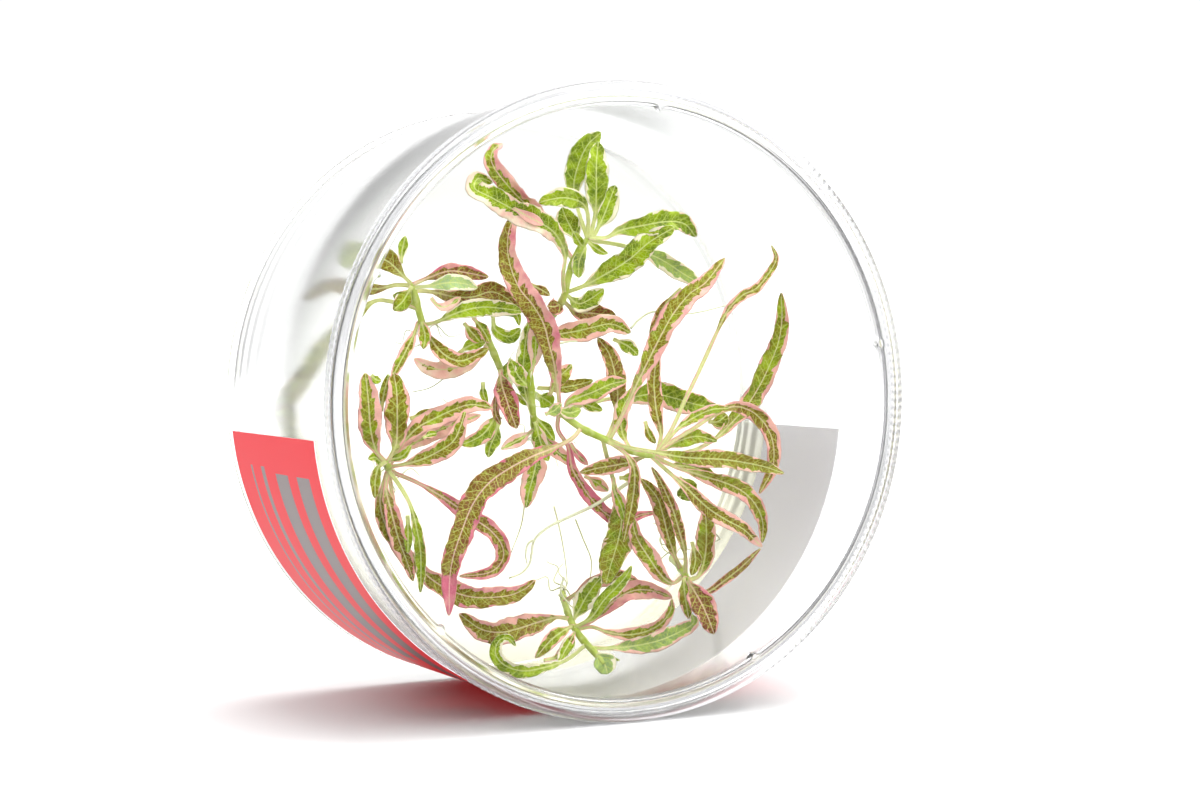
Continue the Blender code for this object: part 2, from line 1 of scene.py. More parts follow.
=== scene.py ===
# %% [markdown]
# # Hygrophila shoots in a clear cup
#
# The real object is a sealed clear plastic cup that lies on its side. Young water plants grow in a disc of
# clear jelly in its base, and a red paper label goes round the lower half of its wall. The solids of the
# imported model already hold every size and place. This script makes the surfaces that are seen: a turned lid
# and cup, the jelly, the label, and leaves with veins, wavy edges and pink margins.

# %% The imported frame
import json
import math

import bpy
import numpy as np
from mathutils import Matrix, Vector


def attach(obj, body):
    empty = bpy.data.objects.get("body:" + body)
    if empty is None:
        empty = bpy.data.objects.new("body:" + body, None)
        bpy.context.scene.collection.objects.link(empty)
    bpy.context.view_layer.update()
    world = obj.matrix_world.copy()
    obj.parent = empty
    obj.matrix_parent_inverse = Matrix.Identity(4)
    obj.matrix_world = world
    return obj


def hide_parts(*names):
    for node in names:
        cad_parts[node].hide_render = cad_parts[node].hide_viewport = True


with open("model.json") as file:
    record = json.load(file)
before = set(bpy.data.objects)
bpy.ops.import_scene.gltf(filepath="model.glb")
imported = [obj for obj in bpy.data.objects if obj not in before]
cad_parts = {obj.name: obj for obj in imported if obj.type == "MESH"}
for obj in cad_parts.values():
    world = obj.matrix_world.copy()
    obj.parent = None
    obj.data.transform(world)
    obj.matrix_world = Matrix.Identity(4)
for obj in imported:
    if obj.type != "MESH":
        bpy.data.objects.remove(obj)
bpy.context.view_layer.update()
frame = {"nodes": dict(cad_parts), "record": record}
MM = 0.001
print("solids in the frame:", len(frame["nodes"]))

# %% [markdown]
# ## One set of directions for the whole cup
#
# The cup lies on its side and leans by a few degrees, because its lid is wider than its base. Everything is
# easier to place in the cup's own directions: across, up, and depth behind the lid's front face. The record
# says where the middle of the base is and which way it faces, so the three directions follow from that. The
# solids are round with 48 flat sides, so the round forms here are drawn in to where those flats lie.

# %% The cup's own directions
HEIGHT = 51.4
SIDES = 48
FLAT = math.cos(math.pi / SIDES)
base_mount = frame["record"]["mounts"][0]
BASE_MIDDLE = np.array(base_mount["pos_m"]) / MM
DEPTH_AXIS = np.array(base_mount["axis"])
ACROSS_AXIS = np.array([1.0, 0.0, 0.0])
UP_AXIS = np.cross(DEPTH_AXIS, -ACROSS_AXIS)
LID_MIDDLE = BASE_MIDDLE - HEIGHT * DEPTH_AXIS
print("the lid's middle, mm:", LID_MIDDLE.round(2), "up:", UP_AXIS.round(3))


def in_cup(across, up, depth):
    """Points in world millimetres: the lid's middle, moved by each length along its own direction."""
    across, up, depth = np.broadcast_arrays(across, up, depth)
    return (LID_MIDDLE + across[..., None] * ACROSS_AXIS + up[..., None] * UP_AXIS
            + depth[..., None] * DEPTH_AXIS)


# %% [markdown]
# ## Camera
#
# A plant behind a pane is laid out most simply where it shows on that pane. The camera stands to the left
# of the cup and a little above its middle. A point at some depth behind the lid therefore shows through the
# lid at the place where the line of sight crosses it. The same viewpoint then serves both the camera and the
# plants.

# %% Camera
# The viewpoint is in the cup's own directions; the point aimed at is in world millimetres.
VIEWPOINT = (-235.0, 21.6, -460.6)
AIM = (-2.2, -19.71, 50.0)
eye = in_cup(*VIEWPOINT)

camera_data = bpy.data.cameras.new("camera")
camera_data.lens = 100.0
camera_data.sensor_width = 36.0
camera_data.clip_start = 0.01
camera = bpy.data.objects.new("camera", camera_data)
bpy.context.scene.collection.objects.link(camera)
camera.location = eye * MM
camera.rotation_euler = (Vector(AIM) * MM - camera.location).to_track_quat("-Z", "Y").to_euler()
bpy.context.scene.camera = camera
bpy.context.scene.view_settings.view_transform = "Standard"
print("the camera, mm:", eye.round(1))


def seen(across, up, depth):
    """The point at a depth behind the lid that shows at (across, up) on it: the line of sight carried on."""
    share = np.asarray(depth, float) / -VIEWPOINT[2]
    return in_cup(across + (across - VIEWPOINT[0]) * share, up + (up - VIEWPOINT[1]) * share, depth)


# %% [markdown]
# ## Short words for shader nodes
#
# Sky, jelly, leaves and stems are all shaded by small graphs of nodes. Writing each node and link in full
# would hide the idea behind the wiring, so one class gives a short word to each kind of node. A word's
# terms are numbers, colours or the outputs of other words, and nearly every word gives back an output.

# %% Nodes and materials


class Nodes:
    """One node tree, with a word for each kind of node that this scene uses."""

    def __init__(self, tree):
        self.tree = tree

    def feed(self, socket, term):
        """Sets a socket to a number, a colour or a direction, or links another node's output to it."""
        if isinstance(term, (int, float)):
            socket.default_value = term
        elif isinstance(term, tuple):
            socket.default_value = (*term, 1.0)[:len(socket.default_value)]
        else:
            self.tree.links.new(term, socket)

    def make(self, kind, terms=(), **settings):
        """A node with its settings, whose first inputs are fed with the terms."""
        made = self.tree.nodes.new(kind)
        for name, value in settings.items():
            setattr(made, name, value)
        for socket, term in zip(made.inputs, terms):
            self.feed(socket, term)
        return made

    def math(self, operation, *terms):
        """The named operation on its terms."""
        return self.make("ShaderNodeMath", terms, operation=operation).outputs[0]

    def step(self, value, first, last):
        """0 on first's side, 1 on last's side and an S-curve between them."""
        made = self.make("ShaderNodeMapRange", (value, first, last), interpolation_type="SMOOTHSTEP")
        return made.outputs[0]

    def mix(self, share, first, second):
        """first where share is 0 and second where it is 1."""
        made = self.make("ShaderNodeMix", data_type="RGBA")
        for index, term in ((0, share), (6, first), (7, second)):
            self.feed(made.inputs[index], term)
        return made.outputs[2]

    def noise(self, vector, scale, detail=2.0):
        """Soft noise from 0 to 1, about scale patches to each unit of the vector."""
        made = self.make("ShaderNodeTexNoise", (vector,), noise_dimensions="3D")
        self.feed(made.inputs["Scale"], scale)
        self.feed(made.inputs["Detail"], detail)
        return made.outputs["Fac"]

    def wander(self, vector, scale, detail):
        """Noise to either side of 0."""
        return self.math("SUBTRACT", self.noise(vector, scale, detail), 0.5)

    def attribute(self, name, output="Fac"):
        """A value that the mesh carries on its points."""
        return self.make("ShaderNodeAttribute", attribute_name=name).outputs[output]

    def split(self, vector):
        """The three parts of a vector."""
        return self.make("ShaderNodeSeparateXYZ", (vector,)).outputs


def new_material(name, **values):
    """A material, its nodes and its shader; each value sets the shader socket with that name."""
    material = bpy.data.materials.new(name)
    material.use_nodes = True
    words = Nodes(material.node_tree)
    shader = material.node_tree.nodes["Principled BSDF"]
    for socket, value in values.items():
        words.feed(shader.inputs[socket.replace("_", " ")], value)
    return material, words, shader


# %% [markdown]
# ## Room
#
# Clear plastic has no look of its own: it shows what is around it. In an evenly white room it would vanish,
# so the sky here is white behind the cup and above it, light grey at the right, and darker in front and at
# the left. The edges of the plastic bend those greys into view. Three soft bright patches of sky take the
# place of lamps: a strong one above makes the soft shadows, a weaker one high in front lights the leaves,
# and a faint one is at the left. A ray may cross a dozen faces of plastic and jelly before it reaches the
# sky, so it's allowed more turns than usual; with fewer, the plastic turns dark.

# %% Sky
WHITE_ROOM = 1.05
GREY_IN_FRONT = 0.3
GREY_AT_RIGHT = 0.8
BEHIND_FADE = (-0.3, 0.25)
LEFT_FADE = (-0.7, -0.15)
RIGHT_FADE = (-0.1, 0.4)
ABOVE_FADE = (0.3, 0.6)
LIGHT_PATH_LENGTH = 24
# For each patch: the direction of its middle, the cosine of the angle to its edge and to its full core, and
# its strength.
SKY_PATCHES = [((0.35, 0.1, 0.93), 0.84, 0.92, 6.6),
               ((0.12, -0.74, 0.66), 0.76, 0.9, 2.5),
               ((-0.62, -0.1, 0.78), 0.76, 0.9, 0.9)]

light_paths = bpy.context.scene.cycles
light_paths.max_bounces = LIGHT_PATH_LENGTH
light_paths.transmission_bounces = LIGHT_PATH_LENGTH
light_paths.glossy_bounces = LIGHT_PATH_LENGTH // 2

world = bpy.data.worlds.new("studio")
bpy.context.scene.world = world
world.use_nodes = True
sky = Nodes(world.node_tree)
direction = sky.make("ShaderNodeTexCoord").outputs["Generated"]
rightward, backward, upward = sky.split(direction)


def sky_patch(aim, edge, core, strength):
    """Light from round one direction: a step of the cosine of the angle to it, times a strength."""
    cosine = sky.make("ShaderNodeVectorMath", (direction, aim), operation="DOT_PRODUCT").outputs["Value"]
    return sky.math("MULTIPLY", sky.step(cosine, edge, core), strength)


behind = sky.math("MULTIPLY", sky.step(backward, *BEHIND_FADE), sky.step(rightward, *LEFT_FADE))
white = sky.math("MAXIMUM", behind, sky.step(upward, *ABOVE_FADE))
grey = sky.math("MULTIPLY_ADD", sky.step(rightward, *RIGHT_FADE), GREY_AT_RIGHT - GREY_IN_FRONT,
                GREY_IN_FRONT)
brightness = sky.math("ADD", grey, sky.math("MULTIPLY", white, sky.math("SUBTRACT", WHITE_ROOM, grey)))
for patch in SKY_PATCHES:
    brightness = sky.math("ADD", brightness, sky_patch(*patch))
background = world.node_tree.nodes["Background"]
sky.feed(background.inputs["Color"], (1.0, 1.0, 1.0))
sky.feed(background.inputs["Strength"], brightness)
print("bright patches in the sky:", len(SKY_PATCHES))

# %% [markdown]
# ## Helpers that turn arrays into meshes
#
# Two forms make nearly everything here. A turned form is a half section carried round the cup's axis. A
# tube is a closed section carried along a path: its section may be round, as on a stem, or as flat as a
# leaf. Both are computed as one array of points, and only the last step hands them to the mesh. Shaders and
# printers need faces that point out, and the volume that a closed shape encloses tells which way they do.

# %% From points and faces to a piece


def outward(points, quads, others):
    """Quads and other faces in the order that points them out: their signed volume is positive then."""
    corner = (points - points.mean(axis=0))[quads]
    volume = 0.0
    for second in (1, 2):
        volume += np.einsum("ij,ij->", corner[:, 0], np.cross(corner[:, second], corner[:, second + 1]))
    order = 1 if volume > 0 else -1
    return quads[:, ::order], [face[::order] for face in others]


def mesh_piece(name, points, faces, materials, values=None, index=None, sharp=None):
    """A smooth mesh object at the origin from points in world millimetres.

    values are stored on its points by name, index gives each face's material, and edges that turn by more
    than sharp degrees stay sharp."""
    mesh = bpy.data.meshes.new(name)
    mesh.from_pydata((points * MM).tolist(), [], faces)
    for key, value in (values or {}).items():
        kind, field = ("FLOAT_VECTOR", "vector") if value.ndim == 2 else ("FLOAT", "value")
        stored = mesh.attributes.new(key, kind, "POINT")
        stored.data.foreach_set(field, np.ascontiguousarray(value, np.float32).ravel())
    for material in materials:
        mesh.materials.append(material)
    if index is not None:
        mesh.polygons.foreach_set("material_index", index.astype(np.int32))
    mesh.shade_smooth()
    if sharp is not None:
        mesh.set_sharp_from_angle(angle=math.radians(sharp))
    made = bpy.data.objects.new(name, mesh)
    bpy.context.scene.collection.objects.link(made)
    return made


# %% [markdown]
# ## Tubes
#
# A leaf, a stem, a root and the label are all tubes: a closed section at each station of a path. Quads join
# each section to the next, and one face closes each end. Several tubes can share one mesh, so that the many
# small leaves of a shoot stay one piece.

# %% Tubes


def strip_quads(rows, columns):
    """Quads of a grid whose columns close round on themselves, row after row."""
    row = np.arange(rows - 1)[:, None] * columns
    column = np.arange(columns)[None]
    following = (column + 1) % columns
    quads = np.stack([row + column, row + following, row + columns + following, row + columns + column], -1)
    return quads.reshape(-1, 4)


def tubes(name, shapes, materials, **finish):
    """One mesh of closed tubes: a shape is an array of (stations, points round the section, 3)."""
    points, faces, start = [], [], 0
    for shape in shapes:
        rows, columns = shape.shape[:2]
        corners = shape.reshape(-1, 3)
        ends = [np.arange(columns)[::-1], np.arange(columns) + (rows - 1) * columns]
        quads, ends = outward(corners, strip_quads(rows, columns), ends)
        points.append(corners)
        faces += (quads + start).tolist() + [(end + start).tolist() for end in ends]
        start += len(corners)
    return mesh_piece(name, np.concatenate(points), faces, materials, **finish)


# %% [markdown]
# ## Turned forms
#
# Lid, cup and jelly are round, so each is a half section carried round the axis. The section is a short list
# of corners, as a turner would cut them. Fans of triangles close the form where it meets the axis, and any
# band of the section may take a material of its own.

# %% Turned forms


def turned(name, profile, steps, materials, bands=(), wave=None, sharp=25.0):
    """A half section of (depth, radius) carried round the axis: point = middle + radius * (cos, sin).

    The profile starts and ends on the axis. Each band is a slice of its rows that takes the next material,
    and wave(depth, radius, angle) is added to the radius."""
    depth, radius = np.array(profile[1:-1], float).T
    radius = radius * FLAT
    angle = np.arange(steps) / steps * 2 * np.pi
    ring = np.broadcast_to(radius[:, None], (len(radius), steps)).copy()
    if wave is not None:
        ring += wave(depth[:, None], radius[:, None], angle[None])
    points = in_cup(ring * np.cos(angle), ring * np.sin(angle), depth[:, None] + 0 * angle).reshape(-1, 3)
    poles = [in_cup(0.0, 0.0, profile[0][0]), in_cup(0.0, 0.0, profile[-1][0])]
    around = np.arange(steps)
    following = (around + 1) % steps
    last = len(points) - steps
    first_cap = np.stack([np.full(steps, len(points)), following, around], axis=1)
    last_cap = np.stack([np.full(steps, len(points) + 1), last + around, last + following], axis=1)
    points = np.concatenate([points, poles])
    quads, caps = outward(points, strip_quads(len(radius), steps), list(first_cap) + list(last_cap))
    index = np.zeros((len(radius) - 1, steps))
    for number, band in enumerate(bands, start=1):
        index[band] = number
    return mesh_piece(name, points, quads.tolist() + [cap.tolist() for cap in caps], materials,
                      index=np.append(index, np.zeros(len(caps))), sharp=sharp)


# %% [markdown]
# ## Floor
#
# The cup lies on a plain pale floor, which takes its soft shadow and the red light of the label's painted
# glow. It is nearly matt, so it mirrors nothing. One large square is enough, because it isn't part of the
# object.

# %% Floor
FLOOR_HALF = 4.0 / MM
floor_material = new_material("white floor", Base_Color=(0.56, 0.56, 0.56), Roughness=0.5,
                              Specular_IOR_Level=0.05)[0]
floor_corners = np.array([(-1, -1, 0), (1, -1, 0), (1, 1, 0), (-1, 1, 0)]) * FLOOR_HALF
floor = mesh_piece("floor", floor_corners, [(0, 1, 2, 3)], [floor_material])
print("the floor's side, m:", 2 * FLOOR_HALF * MM)

# %% [markdown]
# ## Plastic
#
# The lid and the cup are clear polystyrene: see-through, with a refractive index near 1.5. The faint grey
# at their edges is painted shade: a grey tint on the ring, the ribs and the wall. Transmission on the shader
# makes it, in five finishes. The pane is polished, and its mirror image of the room is turned down by the
# specular tint, so that no haze lies over the leaves. The ring round it is slightly matt and scratched, and
# the ribs on the skirt have a darker tint, painted shade for their dark band. The cup is misted with fine
# drops, so the roughness of its wall blurs what is seen through it, and the wall's grey tint is painted
# shade.

# %% Plastic materials
PLASTIC_INDEX = 1.46


def clear_plastic(name, tint, roughness, mirror=1.0):
    """A see-through material: light takes on the tint, and mirror is the strength of its reflections."""
    return new_material(name, Base_Color=tint, Roughness=roughness, Specular_Tint=(mirror,) * 3,
                        Transmission_Weight=1.0, IOR=PLASTIC_INDEX)[0]


pane_plastic = clear_plastic("pane plastic", (0.99, 0.995, 0.995), 0.0, mirror=0.1)
# Painted shade: the grey tints of the ring, rib and wall plastic darken them where the plastic looks grey.
ring_plastic = clear_plastic("ring plastic", (0.925, 0.925, 0.94), 0.2)
rib_plastic = clear_plastic("rib plastic", (0.64, 0.65, 0.68), 0.16)
base_plastic = clear_plastic("base plastic", (0.98, 0.985, 0.98), 0.1)
wall_plastic = clear_plastic("wall plastic", (0.885, 0.895, 0.895), 0.1)
print("plastic finishes:", sum(material.name.endswith("plastic") for material in bpy.data.materials))

# %% [markdown]
# ## Lid
#
# The lid is a flat pane in a raised ring, with a short skirt that grips the rim of the cup. Fine ribs run
# round the skirt so that fingers can hold it, and five small nubs stand on the ring's inner step. It is a
# turned form: ribs and nubs are a small wave added to the radius, so they cost only more steps round it.

# %% Lid
RIBS = 240
STEPS_PER_RIB = 4
RIB_HEIGHT = 0.11
SKIRT_RADIUS = 49.7
SKIRT_DEPTH = 0.8
NUBS = 5
FIRST_NUB = 9.5
NUB_REACH = 0.7
NUB_HALF = 0.6
STEP_RADII = (46.3, 46.9)
STEP_DEPTH = 1.5
LID_PROFILE = [(1.6, 0), (1.6, 46.2), (1.45, 46.45), (0.5, 46.6), (0.25, 46.8), (0.2, 47.1), (0.35, 47.5),
               (0.75, 47.65), (0.8, 48.1), (0.3, 48.25), (0.05, 48.6), (0.0, 49.0), (0.1, 49.5),
               (0.35, 49.85), (0.7, 49.97), (0.9, 50.0), (2.8, 50.0), (3.0, 49.85), (3.0, 49.1),
               (1.9, 49.1), (1.9, 47.3), (2.6, 47.2), (2.6, 0)]
SKIRT_ROW = LID_PROFILE.index((0.9, 50.0)) - 1


def rib_wave(depth, radius, angle):
    """Ribs on the skirt as a raised cosine, and a bell-shaped nub at five places on the ring's inner step."""
    on_skirt = (radius > SKIRT_RADIUS * FLAT) & (depth > SKIRT_DEPTH)
    ribs = np.where(on_skirt, -RIB_HEIGHT * (0.5 - 0.5 * np.cos(RIBS * angle)), 0.0)
    on_step = (radius > STEP_RADII[0] * FLAT) & (radius < STEP_RADII[1] * FLAT) & (depth < STEP_DEPTH)
    pitch = 2 * np.pi / NUBS
    from_nub = (angle - math.radians(FIRST_NUB) + pitch / 2) % pitch - pitch / 2
    return ribs - np.where(on_step, NUB_REACH * np.exp(-(from_nub * radius / NUB_HALF) ** 2), 0.0)


lid = turned("clear_lid", LID_PROFILE, RIBS * STEPS_PER_RIB, [pane_plastic, ring_plastic, rib_plastic],
             bands=[slice(None), slice(SKIRT_ROW, SKIRT_ROW + 1)], wave=rib_wave)
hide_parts("lid")
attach(lid, "root")
print("lid points:", len(lid.data.vertices))

# %% [markdown]
# ## Cup
#
# The cup's wall narrows slightly towards a flat base with a small bead round its edge. It is one turned
# shell, from the middle of the inner floor round the rim and back to the middle of the outer base.

# %% Cup
MOUTH_DEPTH = 2.2
MOUTH_RADIUS = 48.7
BASE_WALL_RADIUS = 47.05
BASE_BEAD_DEPTH = 50.2
CORNER_DEPTH = 49.4
WALL = 1.0
CUP_STEPS = 240


def wall_radius(depth):
    """Outer radius of the tapered wall: a straight line from the mouth to the bead."""
    share = (depth - MOUTH_DEPTH) / (BASE_BEAD_DEPTH - MOUTH_DEPTH)
    return MOUTH_RADIUS + (BASE_WALL_RADIUS - MOUTH_RADIUS) * share


corner_radius = wall_radius(CORNER_DEPTH)
CUP_PROFILE = [(50.4, 0), (50.4, corner_radius - 2.0), (50.25, corner_radius - 1.4),
               (49.9, corner_radius - 1.1), (CORNER_DEPTH, corner_radius - WALL),
               (2.3, MOUTH_RADIUS - WALL), (MOUTH_DEPTH, MOUTH_RADIUS - 0.8),
               (MOUTH_DEPTH, MOUTH_RADIUS - 0.1), (2.3, MOUTH_RADIUS), (50.1, BASE_WALL_RADIUS),
               (50.3, 47.4), (50.5, 47.58), (50.9, 47.6), (51.2, 47.4), (HEIGHT, 47.1), (HEIGHT, 0)]
cup = turned("clear_cup", CUP_PROFILE, CUP_STEPS, [base_plastic, wall_plastic], bands=[slice(None)])
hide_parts("cup")
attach(cup, "root")
print("cup points:", len(cup.data.vertices))

# %% [markdown]
# ## Jelly
#
# The plants feed on a firm clear jelly, which is nearly all water. Jelly that bends light as water does
# would hide the stems' feet here, so its refractive index is set to only 1.1, which keeps them in sight.
# Its roughness makes it a little milky, and its colour runs from clear at the top to a faint yellow low
# down.

# %% Jelly
JELLY_DEPTH = 39.2
CLEAR_JELLY = (0.99, 0.99, 0.965)
YELLOW_JELLY = (0.985, 0.965, 0.80)
YELLOW_BELOW = 0.03
CLEAR_ABOVE = 0.055
JELLY_STEPS = 160
RIM_RADIUS = wall_radius(38.5) - 1.3
FOOT_DEPTH = 49.1
FOOT_RADIUS = wall_radius(FOOT_DEPTH) - 1.3
jelly_material, jelly_words, jelly_shader = new_material("growing jelly", Roughness=0.2,
                                                         Transmission_Weight=1.0, IOR=1.1)
jelly_place = jelly_words.make("ShaderNodeTexCoord").outputs["Object"]
jelly_rise = jelly_words.step(jelly_words.split(jelly_place)[2], YELLOW_BELOW, CLEAR_ABOVE)
jelly_words.feed(jelly_shader.inputs["Base Color"], jelly_words.mix(jelly_rise, YELLOW_JELLY, CLEAR_JELLY))
JELLY_PROFILE = [(JELLY_DEPTH + 0.25, 0), (JELLY_DEPTH + 0.2, 20), (JELLY_DEPTH + 0.15, 38),
                 (JELLY_DEPTH, 43), (JELLY_DEPTH - 0.4, 45.2), (JELLY_DEPTH - 0.7, RIM_RADIUS),
                 (FOOT_DEPTH, FOOT_RADIUS), (49.8, FOOT_RADIUS - 0.4), (50.1, FOOT_RADIUS - 1.0), (50.1, 0)]
jelly = turned("growing_jelly", JELLY_PROFILE, JELLY_STEPS, [jelly_material], sharp=40.0)
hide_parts("jelly")
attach(jelly, "root")
print("jelly points:", len(jelly.data.vertices))

# %% [markdown]
# ## Label
#
# The label is a strip of paper round the lower half of the wall, red outside and pale grey on the back,
# which shows through the cup from inside. It was stuck on slightly askew. It is a tube with a flat section:
# its outer and inner long sides carry different materials, and the faces inside four plain bars are grey.
# Both sides also glow faintly, and that glow is painted light: on the red side it stands in for light that
# comes through the thin paper and throws red light on the floor, and on the back it lightens the pale grey.

# %% Label
LABEL_ANGLES = (-175.0, -8.0)
LABEL_FRONT = (10.7, 17.0)
LABEL_BACK = 49.6
LABEL_INNER_GAP = 0.25
LABEL_THICKNESS = 0.12
LABEL_STEPS = 160
LABEL_ROWS = 48
# For each bar: where it starts and ends down the label, and where it starts and ends along it, as shares.
BARS = [(0.13, 0.28, 0.045, 0.39), (0.39, 0.53, 0.045, 0.32), (0.65, 0.70, 0.04, 0.41),
        (0.81, 0.84, 0.04, 0.43)]

# Painted light: a faint emission makes both sides of the paper glow, red outside and pale on the back.
glowing_red_paper = new_material("glowing red paper", Base_Color=(0.48, 0.003, 0.012), Roughness=0.35,
                         Specular_IOR_Level=0.1, Emission_Color=(1.0, 0.0, 0.01), Emission_Strength=0.22)[0]
grey_print = new_material("grey print", Base_Color=(0.15, 0.115, 0.115), Roughness=0.35,
                          Specular_IOR_Level=0.3)[0]
glowing_grey_paper = new_material("glowing grey paper back", Base_Color=(0.97, 0.95, 0.97), Roughness=0.6,
                          Emission_Color=(1.0, 0.93, 0.97), Emission_Strength=0.36)[0]


def label_piece():
    """Outer and inner arcs: point = radius(depth) at an angle, with the front edge's depth rising evenly."""
    along = np.linspace(0, 1, LABEL_STEPS)[:, None]
    down = np.linspace(0, 1, LABEL_ROWS)[None]
    angle = np.radians(LABEL_ANGLES[0] + (LABEL_ANGLES[1] - LABEL_ANGLES[0]) * along)
    front = LABEL_FRONT[0] + (LABEL_FRONT[1] - LABEL_FRONT[0]) * along
    depth = front + (LABEL_BACK - front) * down
    inner = wall_radius(depth) * FLAT + LABEL_INNER_GAP * FLAT
    outer_side, inner_side = (in_cup(radius * np.cos(angle), radius * np.sin(angle), depth)
                              for radius in (inner + LABEL_THICKNESS, inner))
    section = np.concatenate([outer_side, inner_side[:, ::-1]], axis=1)
    row, column = np.divmod(np.arange((LABEL_STEPS - 1) * 2 * LABEL_ROWS), 2 * LABEL_ROWS)
    index = np.where(column < LABEL_ROWS - 1, 0, 1)
    face_along, face_down = (row + 0.5) / (LABEL_STEPS - 1), (column + 0.5) / (LABEL_ROWS - 1)
    for top, bottom, start, end in BARS:
        in_bar = (face_down > top) & (face_down < bottom) & (face_along > start) & (face_along < end)
        index[in_bar] = 2
    return tubes("red_label", [section], [glowing_red_paper, glowing_grey_paper, grey_print],
                 index=np.append(index, [1, 1]), sharp=30.0)


label = label_piece()
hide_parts("label")
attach(label, "root")
print("label faces:", len(label.data.polygons), "bars:", len(BARS))

# %% [markdown]
# ## Paths that grow
#
# A stem or a midrib is written as a few points, each given where it shows through the lid and how deep it
# lies. A smooth curve runs through them, so a few points are enough for a bent leaf, and that curve is read
# at even steps. A path that comes too near to the cup's wall is moved in, as a leaf is that grows against
# it.

# %% Paths


def smooth_route(route, steps=14):
    """Catmull-Rom: between two points, a cubic whose end slopes come from the points on either side."""
    knots = [seen(*point) for point in route]
    knots = np.array([2 * knots[0] - knots[1]] + knots + [2 * knots[-1] - knots[-2]])
    t = (np.arange(steps) / steps)[None, :, None]
    before, start, end, after = (knots[i:len(knots) - 3 + i, None] for i in range(4))
    line = 0.5 * (2 * start + (end - before) * t + (2 * before - 5 * start + 4 * end - after) * t ** 2
                  + (3 * start - before - 3 * end + after) * t ** 3)
    return np.concatenate([line.reshape(-1, 3), knots[-2:-1]])


def evenly_spaced(line, count):
    """The line read at evenly spaced lengths, and those lengths."""
    lengths = np.concatenate([[0], np.cumsum(np.linalg.norm(np.diff(line, axis=0), axis=1))])
    wanted = np.linspace(0, lengths[-1], count)
    return np.stack([np.interp(wanted, lengths, line[:, axis]) for axis in range(3)], axis=1), wanted


def kept_inside(line, margin):
    """The line with no point nearer than a margin to the wall: radius = min(radius, wall - margin)."""
    from_lid = line - LID_MIDDLE
    across, up, depth = from_lid @ ACROSS_AXIS, from_lid @ UP_AXIS, from_lid @ DEPTH_AXIS
    radius = np.maximum(np.hypot(across, up), 0.01)
    share = np.minimum(1.0, (wall_radius(depth) * FLAT - margin) / radius)
    return in_cup(across * share, up * share, depth)


def unit(vectors):
    """Each vector divided by its length."""
    return vectors / np.linalg.norm(vectors, axis=-1, keepdims=True)


# %% [markdown]
# ## Which way a blade faces
#
# A path alone doesn't say which way a leaf's face looks. In a cup that is packed with plants the blades turn
# to the light at the lid, so each is laid square to the line of sight first, and then turned about its own
# midrib. The same two directions carry the round sections of stems and roots.

# %% Directions along a path


def blade_frames(stations, turn):
    """Across = path direction x line of sight, and out = across x path, both turned about the path."""
    along = unit(np.gradient(stations, axis=0))
    across = unit(np.cross(along, unit(stations - eye)))
    out = np.cross(across, along)
    angle = np.radians(turn)[:, None]
    return (across * np.cos(angle) + out * np.sin(angle),
            out * np.cos(angle) - across * np.sin(angle))


# %% [markdown]
# ## Leaf surface
#
# These leaves are long and narrow with a short stalk. They fold a little along the midrib, their edges are
# finely toothed and wave up and down, and the flesh swells between the side veins. All of it is one closed
# tube with a flat section, so the blade has a real thickness and a rounded edge. A blade also sways about
# its own midrib as it goes, so that no two of them catch the light alike.

# %% Leaf surface
BLADE_COLUMNS = 15
BLADE_STATION = 0.42
STATION_RANGE = (12, 110)
THICK_MIDDLE = 0.16
THICK_EDGE = 0.05
RIB_THICK = 0.1
RIB_HALF = 0.2
RIB_ON_TOP = 0.4
FOLD = 0.42
VEIN_SPACING = 1.7
VEIN_SLANT = 0.9
SWELL = 0.11
TOOTH_SPACING = 1.25
TOOTH_DEPTH = 0.06
EDGE_WAVE = 0.22
WAVE_LENGTH, WAVE_SPREAD = 3.2, 2.0
SWAY = 18.0
SWAY_LENGTH, SWAY_SPREAD = 9, 5
STALK_HALF = 0.36
BLADE_MARGIN = 2.7
TIP_HALF = 0.14
WIDEST = 0.48
FULL_WIDTH = 1.2
PLUMP_HALF = 0.9
SEED_SHIFT = 13.7


def half_widths(share, width, stalk):
    """Half the blade's width: a thin stalk, a sine rise to the widest part, and a blunter fall to the tip."""
    blade = np.clip((share - stalk) / (1 - stalk), 0, 1)
    rise = np.sin(np.pi / 2 * np.clip(blade / WIDEST, 0, 1)) ** 1.1
    fall = np.cos(np.pi / 2 * np.clip((blade - WIDEST) / (1 - WIDEST), 0, 1)).clip(0) ** 0.5
    bare = STALK_HALF + (TIP_HALF - STALK_HALF) * blade
    return np.maximum(FULL_WIDTH * width / 2 * rise * fall, bare)


# %% [markdown]
# ## A blade as one grid of points
#
# One index runs along the midrib and the other round the flat section, first over the upper side and then
# back under it. All the forms are sums of simple waves over that grid. The same pass works out the values
# that the leaf's colours need, so that margins and veins always fit the shape.

# %% A blade


